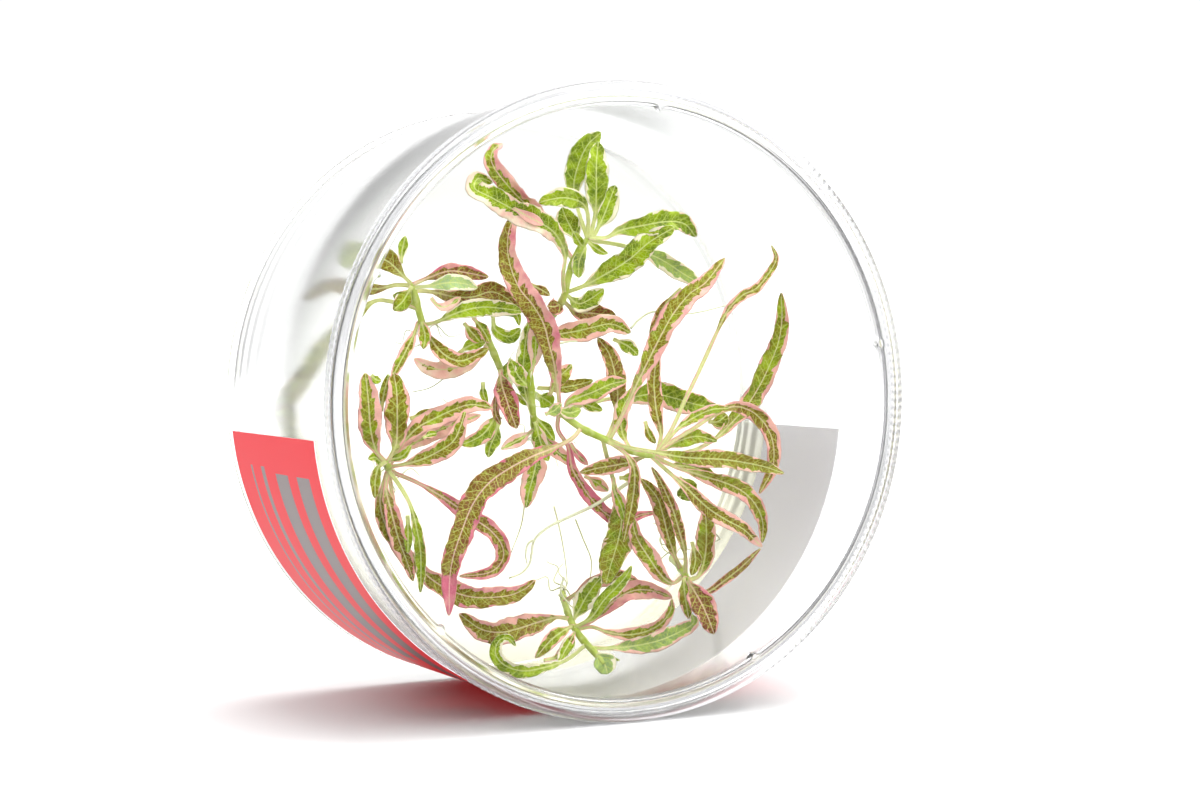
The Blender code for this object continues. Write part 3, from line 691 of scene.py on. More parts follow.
def leaf_arrays(line, width, stalk, turn, look, seed):
    """One blade's points and the values that its material reads.

    x = side * half width, and height = -fold * |x| - swell between veins + wave at the edge, with half the
    thickness and the midrib above or below it."""
    left_rim, right_rim, brown, pink, pale, tip = (tuple(look) + (0.0, 0.0))[:6]
    random = np.random.default_rng(seed)
    length = np.linalg.norm(np.diff(line, axis=0), axis=1).sum()
    stations, run = evenly_spaced(line, int(np.clip(length / BLADE_STATION, *STATION_RANGE)))
    share = run / length
    sway_turns = run / (SWAY_LENGTH + SWAY_SPREAD * random.random()) + random.random()
    sway = turn + SWAY * np.sin(2 * np.pi * sway_turns)
    across, out = blade_frames(stations, sway)
    half = half_widths(share, width, stalk)
    plump = np.clip(half / PLUMP_HALF, 0, 1)[:, None]
    tooth = (run / TOOTH_SPACING + random.random()) % 1.0
    half = (half * (1 + TOOTH_DEPTH * plump[:, 0] * (tooth - 0.5)))[:, None]

    upper = np.linspace(-1, 1, BLADE_COLUMNS)
    side = np.concatenate([upper, upper[-2:0:-1]])[None]
    top = np.concatenate([np.ones(BLADE_COLUMNS), -np.ones(BLADE_COLUMNS - 2)])[None]
    reach = np.abs(side)
    x = side * half
    along = run[:, None]
    thick = THICK_EDGE + (THICK_MIDDLE - THICK_EDGE) * np.sqrt(1 - reach ** 2)
    rib = RIB_THICK * np.exp(-(x / RIB_HALF) ** 2)
    vein = np.cos(2 * np.pi * (along - VEIN_SLANT * np.abs(x)) / VEIN_SPACING)
    wave_length = WAVE_LENGTH + WAVE_SPREAD * random.random()
    wave = np.sin(2 * np.pi * (along / wave_length + 0.25 * np.sign(side) + random.random()))
    height = (-FOLD * np.abs(x) - SWELL * vein * reach * (1 - reach) * 3 * plump
              + EDGE_WAVE * half * wave * reach ** 2 * plump
              + top * (thick / 2 + np.where(top > 0, -rib * RIB_ON_TOP, rib)))
    points = stations[:, None] + across[:, None] * x[..., None] + out[:, None] * height[..., None]

    full = np.ones(x.shape)
    values = {
        "side": side * full, "share": share[:, None] * full,
        "blade": (share[:, None] - stalk) / (1 - stalk) * full,
        "left_rim": full * left_rim, "right_rim": full * right_rim, "brown": full * brown,
        "pink": full * pink, "pale": full * pale, "tip": full * tip,
        "flat": np.stack([x, along * full, full * (seed % 97) * SEED_SHIFT], -1),
    }
    return points, values


def leaf_piece(name, blades):
    """One mesh of one or more blades."""
    shapes, own_values = zip(*blades)
    values = {}
    for key in own_values[0]:
        values[key] = np.concatenate([own[key].reshape(-1, *own[key].shape[2:]) for own in own_values])
    return tubes(name, shapes, [leaf_colours], values=values)


# %% [markdown]
# ## Leaf colour
#
# A leaf has a green middle with a pale midrib and a fine net of veins, and margins that lack green: cream
# in the shade, salmon and pink in the light. Old leaves turn olive and brown. The margin breaks off along
# the side veins in angular patches, so its edge is moved by noise that runs along those veins. Every blade
# carries its own values, and one material reads them.

# %% Leaf colours
LIME = (0.35, 0.50, 0.004)
DEEP_GREEN = (0.13, 0.21, 0.002)
OLIVE = (0.225, 0.16, 0.003)
BROWN = (0.24, 0.08, 0.03)
CREAM = (0.97, 0.91, 0.66)
SALMON = (0.93, 0.52, 0.43)
ROSE = (0.72, 0.17, 0.25)
PALE_VEIN = (0.66, 0.76, 0.15)
PALE_BASE = (0.82, 0.84, 0.36)
MINT = (0.50, 0.68, 0.34)
GREEN_RIB = (0.74, 0.78, 0.32)
PINK_RIB = (0.88, 0.60, 0.46)
PALE_HEM = (0.86, 0.86, 0.56)
PINK_HEM = (0.70, 0.33, 0.30)
print("green and brown middles:", LIME, DEEP_GREEN, OLIVE, BROWN)

# %% [markdown]
# ## Margins that lack green
#
# A margin starts at its own share of the half blade. Patches of noise move that line, and as the noise is
# stretched along the side veins, the edge breaks in slanted steps as on the real leaves. Some tips lack
# green altogether, whatever their margins are.

# %% Leaf margin
PATCH_REACH = 1.7


def leaf_margin(words, reach, patches):
    """1 where a blade lacks green: where reach > 1 - rim + patches, and over the bare share of its tip."""
    on_left = words.math("GREATER_THAN", words.attribute("side"), 0.0)
    on_right = words.math("SUBTRACT", 1.0, on_left)
    rim = words.math("MULTIPLY_ADD", on_left, words.attribute("left_rim"),
                     words.math("MULTIPLY", on_right, words.attribute("right_rim")))
    edge = words.math("MULTIPLY_ADD", patches, PATCH_REACH, words.math("SUBTRACT", 1.0, rim))
    margin = words.step(words.math("SUBTRACT", reach, edge), -0.03, 0.04)
    has_rim = words.math("GREATER_THAN", rim, 0.02)
    green_share = words.math("SUBTRACT", 1.0, words.attribute("tip"))
    past_green = words.math("SUBTRACT", words.attribute("share"), green_share)
    bare_tip = words.step(words.math("MULTIPLY_ADD", patches, 0.1, past_green), 0.0, 0.01)
    return words.math("MAXIMUM", words.math("MULTIPLY", margin, has_rim), bare_tip)


# %% [markdown]
# ## The green middle
#
# A leaf isn't one green: broad soft noise mixes a light and a deep one. Age works in the same way, as a
# second noise added to the leaf's own brownness, so that old leaves turn in blotches and not all at once.

# %% Green middle


def green_middle(words, flat):
    """Lime to deep green by broad noise, then olive and brown by age, and mint by paleness."""
    green = words.mix(words.step(words.noise(flat, 0.5, 3.0), 0.32, 0.7), LIME, DEEP_GREEN)
    aged = words.math("MULTIPLY_ADD", words.wander(flat, 0.6, 1.0), 0.8, words.attribute("brown"))
    middle = words.mix(words.step(aged, 0.05, 0.5), green, OLIVE)
    middle = words.mix(words.step(aged, 0.5, 1.0), middle, BROWN)
    return words.mix(words.attribute("pale"), middle, MINT)


# %% [markdown]
# ## Veins
#
# Side veins leave the midrib at even steps and run slanted to the edge, which is a repeat of one number: the
# run along the leaf, less a share of the way out. Between them lies a net of finer veins, drawn by the edges
# of small cells.

# %% Veins
NET_SCALE = 1.5
NET_WIDTH = 0.1


def veined(words, middle, flat, slanted, reach):
    """Pale lines on the middle: the edges of small cells, and side veins at even steps of the slanted run."""
    cells = words.make("ShaderNodeTexVoronoi", (flat,), feature="DISTANCE_TO_EDGE")
    words.feed(cells.inputs["Scale"], NET_SCALE)
    net = words.step(cells.outputs["Distance"], NET_WIDTH, 0.0)
    turn = words.math("FRACT", words.math("DIVIDE", slanted, VEIN_SPACING))
    off_vein = words.math("ABSOLUTE", words.math("SUBTRACT", turn, 0.5))
    veins = words.math("MULTIPLY", words.step(off_vein, 0.07, 0.01), words.step(reach, 0.95, 0.6))
    middle = words.mix(words.math("MULTIPLY", net, 0.5), middle, PALE_VEIN)
    return words.mix(words.math("MULTIPLY", veins, 0.7), middle, PALE_VEIN)


# %% [markdown]
# ## The whole leaf
#
# The layers lie over one another as on the real leaf: the middle with its veins, the pale base, the margin,
# the midrib, and last the thin hem at the very edge. Margins and midrib take more or less pink from one
# noise, so that they blush together. A fine bump breaks up the gloss.

# %% Leaf material


def leaf_material():
    """Middle, pale base, margin, midrib and hem laid over one another, each where its own share is 1."""
    material, words, shader = new_material("leaf", Roughness=0.34, Specular_IOR_Level=0.16)
    flat = words.attribute("flat", "Vector")
    across, run, blade_number = words.split(flat)
    off_middle = words.math("ABSOLUTE", across)
    slanted = words.math("MULTIPLY_ADD", off_middle, -VEIN_SLANT, run)
    reach = words.math("ABSOLUTE", words.attribute("side"))
    along_vein = words.make("ShaderNodeCombineXYZ",
                            (words.math("MULTIPLY", across, 0.45), slanted, blade_number)).outputs[0]
    patches = words.wander(along_vein, 0.55, 3.0)
    blush = words.math("MULTIPLY_ADD", words.wander(flat, 0.5, 2.0), 0.8, words.attribute("pink"))

    middle = veined(words, green_middle(words, flat), flat, slanted, reach)
    base = words.step(words.math("MULTIPLY_ADD", patches, 0.4, words.attribute("blade")), 0.3, -0.05)
    middle = words.mix(words.math("MULTIPLY", base, 0.7), middle, PALE_BASE)
    rim_colour = words.mix(words.step(blush, 0.05, 0.6), CREAM, SALMON)
    rim_colour = words.mix(words.step(blush, 0.65, 1.15), rim_colour, ROSE)
    colour = words.mix(leaf_margin(words, reach, patches), middle, rim_colour)

    rib_half = words.math("MULTIPLY_ADD", words.attribute("share"), -0.12, 0.22)
    midrib = words.step(off_middle, rib_half, words.math("MULTIPLY", rib_half, 0.45))
    rib_colour = words.mix(words.step(blush, 0.5, 1.0), GREEN_RIB, PINK_RIB)
    colour = words.mix(words.math("MULTIPLY", midrib, 0.7), colour, rib_colour)
    hem_colour = words.mix(words.step(blush, 0.2, 0.7), PALE_HEM, PINK_HEM)
    colour = words.mix(words.math("MULTIPLY", words.step(reach, 0.9, 0.99), 0.55), colour, hem_colour)
    words.feed(shader.inputs["Base Color"], colour)

    bump = words.make("ShaderNodeBump")
    words.feed(bump.inputs["Strength"], 0.6)
    words.feed(bump.inputs["Distance"], 0.2 * MM)
    words.feed(bump.inputs["Height"], words.noise(flat, 4.0))
    words.feed(shader.inputs["Normal"], bump.outputs[0])
    return material


leaf_colours = leaf_material()
print("nodes in the leaf's shader:", len(leaf_colours.node_tree.nodes))

# %% [markdown]
# ## Where the stems run
#
# Eight shoots grow in the cup, and each stands on one stem. A route starts at the jelly and ends at the
# shoot's tip: three numbers a point, for where it shows across and up the lid and how deep behind it lies.

# %% Stem routes
STEMS = {
    "top": [
        (-16, 12, 38.3), (-13, 14, 32), (-11.2, 16.5, 24), (-10, 20.5, 21), (-8.2, 24, 19),
        (-6.6, 25.8, 18)],
    "left": [(-34.6, 12.9, 38.3), (-34.8, 13.1, 31), (-35.4, 15.2, 28.5), (-36.4, 19.3, 26)],
    "lower_left": [(-40.5, -9, 38.3), (-40.8, -8.8, 31), (-41, -8.2, 26), (-41.3, -7.2, 24)],
    "side": [
        (-20.8, 3.6, 38.3), (-21.4, 4.6, 33), (-22.2, 6.2, 29.6), (-23.4, 9, 27.6), (-24.5, 11.5, 26.4)],
    "middle": [
        (-16.6, -5.5, 38.3), (-16.6, -4.6, 31), (-16.7, -2.5, 26), (-17, 1.5, 23), (-17.2, 5.6, 21.4)],
    "right": [
        (-17.5, 2.5, 38.3), (-15, 1, 30), (-12, -1.2, 23), (-8.6, -3.6, 19.5), (-4.4, -5.6, 16),
        (0, -7.5, 14), (4, -8.6, 12.5)],
    "lower_right": [(6.5, -24.5, 38.3), (7.4, -25.4, 30), (8.6, -27, 23), (9.4, -28.2, 20)],
    "bottom": [
        (-12.6, -28.8, 38.3), (-11.8, -31.5, 33), (-10.8, -34, 29), (-9.2, -36.3, 26), (-6.8, -38.9, 23),
        (-5.7, -40.3, 21.4)],
}
print("stem routes:", len(STEMS))

# %% [markdown]
# ## Stems
#
# A stem is a round tube, pale green and slightly swollen where leaves leave it. The solids stop at the
# jelly; here the stem goes on into it.

# %% Stems
STEM_RADIUS = 0.6
STEM_COLUMNS = 18
STEM_STATIONS = 90
JELLY_REACH = 42.5
JOINT_SPACING = 7.5
JOINT_PLACE = 3.7
JOINT_HALF = 0.8
JOINT_SWELL = 0.16
BETWEEN_JOINTS = 0.94
TAPER_LENGTH = 1.2


def stem_material():
    """Two greens in blotches, with fine pale specks over them."""
    material, words, shader = new_material("stem", Roughness=0.38)
    position = words.make("ShaderNodeTexCoord").outputs["Object"]
    blotches = words.step(words.noise(position, 260.0), 0.4, 0.65)
    colour = words.mix(blotches, (0.55, 0.66, 0.13), (0.38, 0.50, 0.04))
    specks = words.step(words.noise(position, 900.0), 0.5, 0.7)
    colour = words.mix(words.math("MULTIPLY", specks, 0.35), colour, (0.82, 0.85, 0.45))
    words.feed(shader.inputs["Base Color"], colour)
    return material


stem_green = stem_material()


def round_sections(stations, radii, columns):
    """Circles round a path: point = station + radius * (cos * side + sin * out)."""
    side, out = blade_frames(stations, np.zeros(len(stations)))
    angle = np.arange(columns) / columns * 2 * np.pi
    ring = np.cos(angle)[None, :, None] * side[:, None] + np.sin(angle)[None, :, None] * out[:, None]
    return stations[:, None] + ring * radii[:, None, None]


def stem_piece(name, route):
    """A round tube: radius = stem radius * (0.94 + a bell at each joint) * a square-root taper to the tip."""
    in_jelly = (route[0][0], route[0][1], JELLY_REACH)
    stations, run = evenly_spaced(smooth_route([in_jelly] + route[1:]), STEM_STATIONS)
    swell = JOINT_SWELL * np.exp(-((run % JOINT_SPACING - JOINT_PLACE) / JOINT_HALF) ** 2)
    taper = np.clip((run[-1] - run) / TAPER_LENGTH, 0.25, 1.0) ** 0.5
    radii = STEM_RADIUS * (BETWEEN_JOINTS + swell) * taper
    return tubes(name, [round_sections(stations, radii, STEM_COLUMNS)], [stem_green])


stem_lines = {}
for shoot, route in STEMS.items():
    stem_lines[shoot] = smooth_route(route)
    stem = stem_piece(shoot + "_green_stem", route)
    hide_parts(shoot + "_stem")
    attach(stem, "root")
print("stems:", len(stem_lines))

# %% [markdown]
# ## Leaves that have solids
#
# Each entry is one leaf: the shoot whose stem it grows from, its slot, its width in millimetres, the share
# of its length that is stalk, its look, and its midrib's route. A look is the width of the left and right
# margins as shares of the half blade, then how brown the middle is and how pink the margins are; a fifth
# number makes it minty, and a sixth is the share of the tip that has no green.

# %% Leaf table
LEAVES = {
    "top_leaf_1": ("top", "green", 2.7, 0.15, (0.1, 0.7, 0.3, 0.8, 0, 0.05), [
        (-9.4, 22.3, 20.3), (-12, 25.8, 19), (-14.6, 28.5, 17.6), (-17.4, 31.2, 16.2), (-19.7, 33.4, 15.2),
        (-21.8, 35.7, 14.6), (-22.8, 37.7, 14.6), (-22.3, 39.2, 15.2), (-21, 40.1, 16.5)]),
    "top_leaf_2": ("top", "green", 3.3, 0.2, (0.5, 0.15, 0.05, 0.3), [
        (-11, 16.8, 23.5), (-11.2, 20, 19.2), (-10.8, 23.4, 17), (-12.4, 26.5, 15.4), (-15.8, 28.5, 14.4),
        (-19.6, 30.4, 14), (-23.2, 32.1, 14), (-25.7, 33.4, 14.9), (-25, 34.9, 16.4), (-22.8, 34.3, 17.4)]),
    "top_leaf_3": ("top", "green", 2.7, 0.35, (0.1, 0.12, 0, 0.05), [
        (-7, 25.4, 18.3), (-6.6, 28.6, 16.4), (-7.4, 30.9, 15.8), (-10.2, 31.8, 16), (-12.8, 31.6, 16.8),
        (-15, 31.1, 17.8)]),
    "top_leaf_4": ("top", "green", 3.3, 0.3, (0.1, 0.1, 0, 0), [
        (-6.9, 25.8, 18.2), (-8.4, 30, 19.6), (-9, 33.5, 20), (-8, 37, 19.6), (-6.4, 40, 19.4),
        (-4.2, 41.8, 19.6)]),
    "top_leaf_5": ("top", "green", 3.3, 0.2, (0.1, 0.1, 0, 0), [
        (-6.3, 26.2, 17.8), (-5.3, 29.5, 17), (-5.1, 33, 16.6), (-5.1, 36.8, 16.8), (-4.6, 40.3, 17.6)]),
    "top_leaf_6": ("top", "green", 3.1, 0.25, (0.1, 0.25, 0, 0.05), [
        (-5.7, 26, 18.8), (-4, 29, 19), (-2.6, 31.8, 19.2), (-1.8, 33.6, 19.4)]),
    "top_leaf_7": ("top", "green", 3.1, 0.12, (0.08, 0.22, 0, 0.3), [
        (-6.2, 25.6, 17.7), (-3.6, 25.6, 17), (-1, 26.8, 16.2), (3.2, 27.5, 15.6), (7.2, 27.9, 15.6),
        (10.2, 27.5, 16.4), (12.1, 25.6, 17.6)]),
    "top_leaf_8": ("top", "green", 3.6, 0.12, (0.12, 0.12, 0.1, 0.2), [
        (-10.6, 17.4, 23.2), (-7, 18.5, 20.8), (-3, 20.4, 18.6), (0.5, 22.4, 16.8), (4, 24.8, 15),
        (8.3, 27.1, 13.6)]),
    "top_leaf_9": ("top", "brown", 2.8, 0.1, (0.1, 0.1, 0.95, 0.7), [
        (-11.2, 16, 25), (-9, 14.3, 25.4), (-6, 14, 25.2), (-2.3, 13.6, 24.6)]),
    "left_leaf_1": ("left", "mint", 2.3, 0.2, (0.4, 0.4, 0, 0, 0.75), [
        (-36.2, 18.7, 26.4), (-33.5, 18.9, 24.4), (-30.5, 19.3, 23.2), (-27.8, 19, 22.8),
        (-25.7, 18.4, 22.8)]),
    "left_leaf_2": ("left", "brown", 2.1, 0.1, (0.4, 0.05, 0.9, 0.95), [
        (-36.3, 19.2, 26), (-33.2, 20.3, 25.4), (-30.2, 21, 25), (-27, 20.6, 24.8), (-23.8, 20, 24.8)]),
    "left_leaf_3": ("left", "olive", 2.9, 0.1, (0.1, 0.15, 0.8, 0.6), [
        (-36.2, 18.2, 26.9), (-32.8, 17.9, 26.4), (-29.6, 17.2, 26), (-26.4, 17, 25.8), (-23.4, 17.7, 25.6),
        (-21, 16.9, 25.4), (-18.5, 14.9, 25.2)]),
    "left_leaf_4": ("left", "green", 2.5, 0.2, (0.3, 0.35, 0, 0.15), [
        (-34.9, 13.1, 30), (-32.6, 13.4, 26.6), (-29.8, 14.4, 23.8), (-27, 15.2, 22.4), (-24.4, 15.5, 22),
        (-21.6, 15.2, 22), (-18.2, 14.6, 22.4)]),
    "left_leaf_5": ("left", "olive", 2.2, 0.1, (0.25, 0.35, 0.45, 0.6), [
        (-34.7, 12.8, 30.6), (-33.4, 10.8, 28), (-31.9, 8.9, 26.2), (-30.2, 7.7, 25.4), (-28.4, 7.4, 25),
        (-26.2, 8.2, 24.8), (-24, 9.2, 24.8)]),
    "left_leaf_6": ("side", "peach", 2.7, 0.1, (0.95, 1, 0.3, 0.45), [
        (-24, 10.2, 27.1), (-25.6, 8, 27.6), (-28.8, 6.5, 28), (-31.6, 6.2, 28), (-34.2, 6.8, 27.8),
        (-36.4, 8, 27.4)]),
    "left_leaf_7": ("left", "olive", 3, 0.1, (0.05, 0.05, 0.6, 0.3), [
        (-36.6, 19.4, 26.4), (-38.2, 20.9, 27.2), (-40.2, 22.6, 27.8), (-43, 23.6, 28),
        (-46.5, 23.2, 27.6)]),
    "left_leaf_8": ("left", "olive", 2.7, 0.12, (0, 0.05, 0.35, 0.2), [
        (-35.5, 15.5, 28.4), (-39.6, 16.6, 29.6), (-43, 16.6, 30), (-47, 13.2, 30.4), (-50.6, 10.2, 30.6),
        (-54.2, 6.2, 30.8), (-56.8, 2.2, 31), (-57.2, -1.6, 31), (-55.4, -5, 30.6), (-52.4, -6.4, 30)]),
    "lower_left_leaf_1": ("lower_left", "green", 3.2, 0.1, (0.35, 0.5, 0.3, 0.7), [
        (-41.3, -7.4, 24.6), (-42.8, -5.6, 23.6), (-43.6, -2.6, 22.8), (-43.9, 0.4, 22.6),
        (-44.1, 3.4, 22.8), (-44.3, 6.1, 23.4)]),
    "lower_left_leaf_2": ("lower_left", "olive", 3.4, 0.1, (0.25, 0.15, 0.45, 0.7), [
        (-41.1, -7.3, 24.2), (-39.7, -4.8, 22.8), (-39.3, -2, 22), (-39.3, 0.8, 21.8), (-39.4, 3.4, 22.2),
        (-39.7, 6, 23)]),
    "lower_left_leaf_3": ("lower_left", "green", 2.8, 0.1, (0.5, 0.55, 0.3, 0.6), [
        (-40.9, -7.8, 25.2), (-38.8, -4.9, 23.8), (-36.4, -2.7, 22.8), (-33.4, -1.2, 22),
        (-30.2, 0.1, 21.4), (-27.2, 0.7, 21.4), (-23.6, 0.1, 21.8)]),
    "lower_left_leaf_4": ("lower_left", "olive", 2.7, 0.1, (0.35, 0.5, 0.35, 0.65), [
        (-40.9, -8.1, 25.6), (-38, -7.8, 23.6), (-35.2, -7.1, 22.2), (-32.4, -5.9, 21), (-30.2, -4.6, 20.2),
        (-29, -2.6, 19.8), (-28.1, -0.3, 19.6)]),
    "lower_left_leaf_5": ("lower_left", "olive", 2.4, 0.1, (0.35, 0.35, 0.65, 0.75), [
        (-41, -8.4, 26.4), (-41.4, -11.5, 25), (-40.8, -14.5, 24.4), (-39.9, -17.8, 24), (-38.8, -21.2, 24),
        (-37.4, -25.4, 24.2)]),
    "lower_left_leaf_6": ("lower_left", "olive", 2.3, 0.1, (0.45, 0.45, 0.7, 0.95), [
        (-40.9, -8.6, 27.4), (-36.8, -10.4, 25.8), (-33.2, -12.5, 25.2), (-30, -14.5, 24.8),
        (-27, -16.7, 24.2), (-24.2, -18.8, 23.4), (-22.4, -21.2, 22.6), (-22.6, -23.4, 22.4),
        (-24.8, -24.9, 22.4), (-29.8, -25.2, 22.8)]),
    "lower_left_leaf_7": ("lower_left", "green", 3.1, 0.3, (0.45, 0.1, 0.55, 0.85), [
        (-40.9, -8.7, 29), (-40.2, -14, 27.6), (-38.8, -19, 27), (-36.4, -23.2, 26.4), (-33.4, -26.1, 25.8),
        (-30, -27.8, 25.2), (-26, -28.7, 24.8), (-22, -28.7, 24.6), (-19, -27.8, 24.6),
        (-17.1, -26.6, 24.8)]),
    "middle_leaf_1": ("right", "brown", 3.4, 0.06, (0.05, 0.7, 0.65, 0.85), [
        (-12.2, -1.1, 23.2), (-12.5, 2.5, 20.8), (-12.9, 6, 18.8), (-13.9, 9.6, 17.4), (-14.7, 12.8, 16.6),
        (-16.4, 15.6, 16.4), (-18.5, 17.9, 16.8), (-19.8, 20.8, 17.6), (-20.4, 24.2, 18.6),
        (-20.1, 27.2, 19.4), (-19, 29.4, 20.4)]),
    "middle_leaf_2": ("top", "green", 3.1, 0.25, (0.5, 0.5, 0.3, 0.5), [
        (-13.2, 13.9, 32.2), (-14.6, 11.2, 29), (-12.8, 10.9, 26), (-9.6, 11.3, 24.4), (-6.2, 11.9, 23.4),
        (-3, 12.2, 23), (0.2, 10.9, 23.2)]),
    "middle_leaf_3": ("right", "brown", 2.7, 0.25, (0.1, 0.15, 0.75, 0.6), [
        (-4.4, -5.6, 16.2), (-2.6, -2, 18.8), (-2.2, 1.2, 20.6), (-2.7, 4.6, 22.4), (-3.6, 7.8, 24.2),
        (-5.4, 10.2, 25.6)]),
    "middle_leaf_4": ("right", "pink", 2.6, 0.1, (0.4, 0.4, 0.05, 0.6), [
        (-11.4, -1.6, 22.5), (-10.9, 0.3, 21.2), (-8.9, 1.2, 20.2), (-6.2, 2, 19.6), (-3.5, 2.9, 19.4),
        (-0.7, 3.4, 19.6)]),
    "middle_leaf_5": ("side", "brown", 2.9, 0.1, (0.25, 0.25, 0.95, 0.95), [
        (-22.2, 6.2, 29.6), (-21.9, 3.6, 27.2), (-21.3, 1.4, 25.6), (-20.6, -0.8, 24.8),
        (-19.6, -3.2, 24.6)]),
    "right_leaf_1": ("right", "olive", 3.4, 0.1, (0.3, 0.05, 0.75, 1.05, 0, 0.15), [
        (-8.6, -3.6, 19.5), (-10.4, -5.2, 17.2), (-14, -6.6, 15.2), (-17.8, -7.9, 13.8),
        (-21.5, -9.4, 12.8), (-24.6, -11.4, 12), (-27.2, -14.4, 11.6), (-29.2, -18.2, 11.4),
        (-30.7, -22.2, 11.6), (-31.4, -26.2, 12), (-31.7, -31, 12.8)]),
    "right_leaf_2": ("right", "olive", 3, 0.15, (0.25, 0.45, 0.4, 0.75), [
        (-4, -5.8, 15.8), (-2.4, -3.4, 14.6), (-0.6, -0.6, 13.4), (1.2, 3, 12.4), (3.4, 6.8, 11.8),
        (5.6, 10.2, 11.6), (8, 13.8, 11.8), (10.8, 16.7, 12.4), (13.8, 18.4, 13.4), (17.1, 22, 15)]),
    "right_leaf_3": ("right", "green", 1.4, 0.5, (0.3, 0.3, 0.45, 0.6), [
        (3.8, -8.5, 12.6), (6.8, -4.8, 12.6), (9.6, 0, 13.2), (12.4, 5, 13.8), (15.2, 9.9, 14.2),
        (17.6, 14, 14.4), (20.2, 16.2, 14.6), (22.8, 17.2, 14.8), (25, 19.4, 15), (26.4, 21.8, 15.2),
        (25.6, 23.9, 15.8)]),
    "right_leaf_4": ("right", "olive", 2.9, 0.38, (0.1, 0.3, 0.25, 0.7), [
        (1.6, -8, 13.4), (5, -8.6, 16.4), (8.5, -8.3, 18.8), (11.4, -7.8, 20.8), (14.6, -6.3, 23),
        (17.6, -4.1, 24.4), (20, -1.9, 25), (22.2, 0.8, 25.2), (24.6, 4.4, 25), (26.4, 8.2, 24.6),
        (27.2, 12.2, 24), (27.3, 16.4, 23.4)]),
    "right_leaf_5": ("right", "green", 3.6, 0.38, (0.1, 0.3, 0, 0.45), [
        (-12.6, -0.8, 24.2), (-8, 0, 25.6), (-3.5, 0.7, 26.4), (0.5, 0.9, 26.6), (4.2, 1.1, 26.6),
        (8.2, 0.3, 26.4), (12, -0.9, 26), (15.6, -1.5, 25.6)]),
    "right_leaf_6": ("right", "olive", 2.5, 0.2, (0.1, 0.2, 0.4, 0.5), [
        (-4.6, -5.5, 16.1), (-1.2, -6.8, 13), (3, -7.7, 11), (8, -8.7, 10), (13, -9.3, 9.6),
        (18, -9.9, 9.6), (22.6, -10.8, 10.2), (26.9, -12.3, 11.2)]),
    "right_leaf_7": ("right", "brown", 2.3, 0.35, (0.45, 0.25, 0.65, 0.75), [
        (3.4, -8.4, 12.8), (7.4, -6.2, 14.4), (10.8, -4.5, 15.6), (14, -2.9, 16.6), (17.6, -1.4, 17.4),
        (20.4, -1.7, 18), (22.8, -3.2, 18.2), (24.6, -5.8, 18.2), (25.3, -8.8, 18), (24.8, -12, 18),
        (22.5, -15.3, 18.2)]),
    "right_leaf_8": ("right", "green", 2.4, 0.15, (0.2, 0.45, 0.35, 0.7), [
        (4, -8.6, 12.5), (8.4, -10.7, 13.2), (12.4, -12, 13.8), (16, -13.1, 14.2), (19.4, -14.8, 14.6),
        (21.9, -17.2, 15), (23.1, -20, 15.6), (22.8, -23.1, 16.4)]),
    "right_leaf_9": ("right", "brown", 2.3, 0.1, (0.3, 0.35, 0.6, 0.55, 0, 0.1), [
        (3.4, -8.5, 12.7), (7.2, -11.8, 11.6), (10, -14.3, 11.2), (13.2, -17, 11.2), (16.6, -19.3, 11.6),
        (19.8, -21, 12.4), (22.7, -23.7, 14)]),
    "right_leaf_10": ("right", "pink", 1.9, 0.1, (0.65, 0.55, 0.75, 1.05), [
        (-12.3, -1, 23.6), (-12.6, -3.6, 24), (-11, -6.4, 24.4), (-10.4, -9.6, 24.6), (-8.8, -12.2, 24.6),
        (-7.2, -14.6, 24.6), (-4.8, -17, 24.8), (-1.8, -18.3, 25.2), (1.2, -17.6, 26), (4.2, -17.3, 26.4)]),
    "right_leaf_11": ("right", "olive", 4.2, 0.4, (0.08, 0.12, 0.3, 0.4), [
        (-5, -5.3, 16.6), (-4.2, -9, 19), (-3, -13, 21.2), (-2, -17.2, 22.6), (-2.8, -21.4, 22.6),
        (-4, -25, 22.4), (-5, -28, 22.2)]),
    "lower_right_leaf_1": ("lower_right", "olive", 2.5, 0.1, (0.35, 0.2, 0.5, 0.7), [
        (8.3, -26.6, 24.4), (7.2, -24.4, 23.6), (6, -21.2, 23.4), (5.2, -17.6, 23.2), (4.2, -14.8, 23),
        (1.4, -11.9, 22.8)]),
    "lower_right_leaf_2": ("lower_right", "olive", 2.9, 0.1, (0.15, 0.35, 0.4, 0.6), [
        (9.4, -28.2, 20), (11.3, -27.6, 20.6), (12.5, -24.8, 21.2), (12.9, -21.4, 21.4),
        (12.6, -16.6, 21.4)]),
    "lower_right_leaf_3": ("lower_right", "pink", 2.6, 0.1, (0.35, 0.45, 0.35, 0.75), [
        (8.8, -27.4, 22.2), (6.6, -28.5, 21.4), (4.4, -26.8, 20.8), (2.4, -24.1, 20.4), (0.5, -20.8, 20.4),
        (-0.4, -17.4, 20.8)]),
    "lower_right_leaf_4": ("lower_right", "brown", 3.4, 0.1, (0.3, 0.1, 0.95, 0.85), [
        (9.2, -27.9, 20.6), (10.9, -30.6, 17.4), (12.5, -33.8, 15.6), (13.9, -37, 14.4)]),
    "bottom_leaf_1": ("bottom", "green", 3.5, 0.1, (0.3, 0.4, 0.6, 0.75), [
        (-11.2, -33, 30.4), (-13.6, -32.5, 29.4), (-16.6, -33, 28.6), (-19.8, -33.8, 28.2),
        (-23, -34.2, 28), (-26.4, -33.4, 27.8), (-30, -30.9, 27.6)]),
    "bottom_leaf_2": ("bottom", "green", 2, 0.15, (0.1, 0.4, 0, 0.1), [
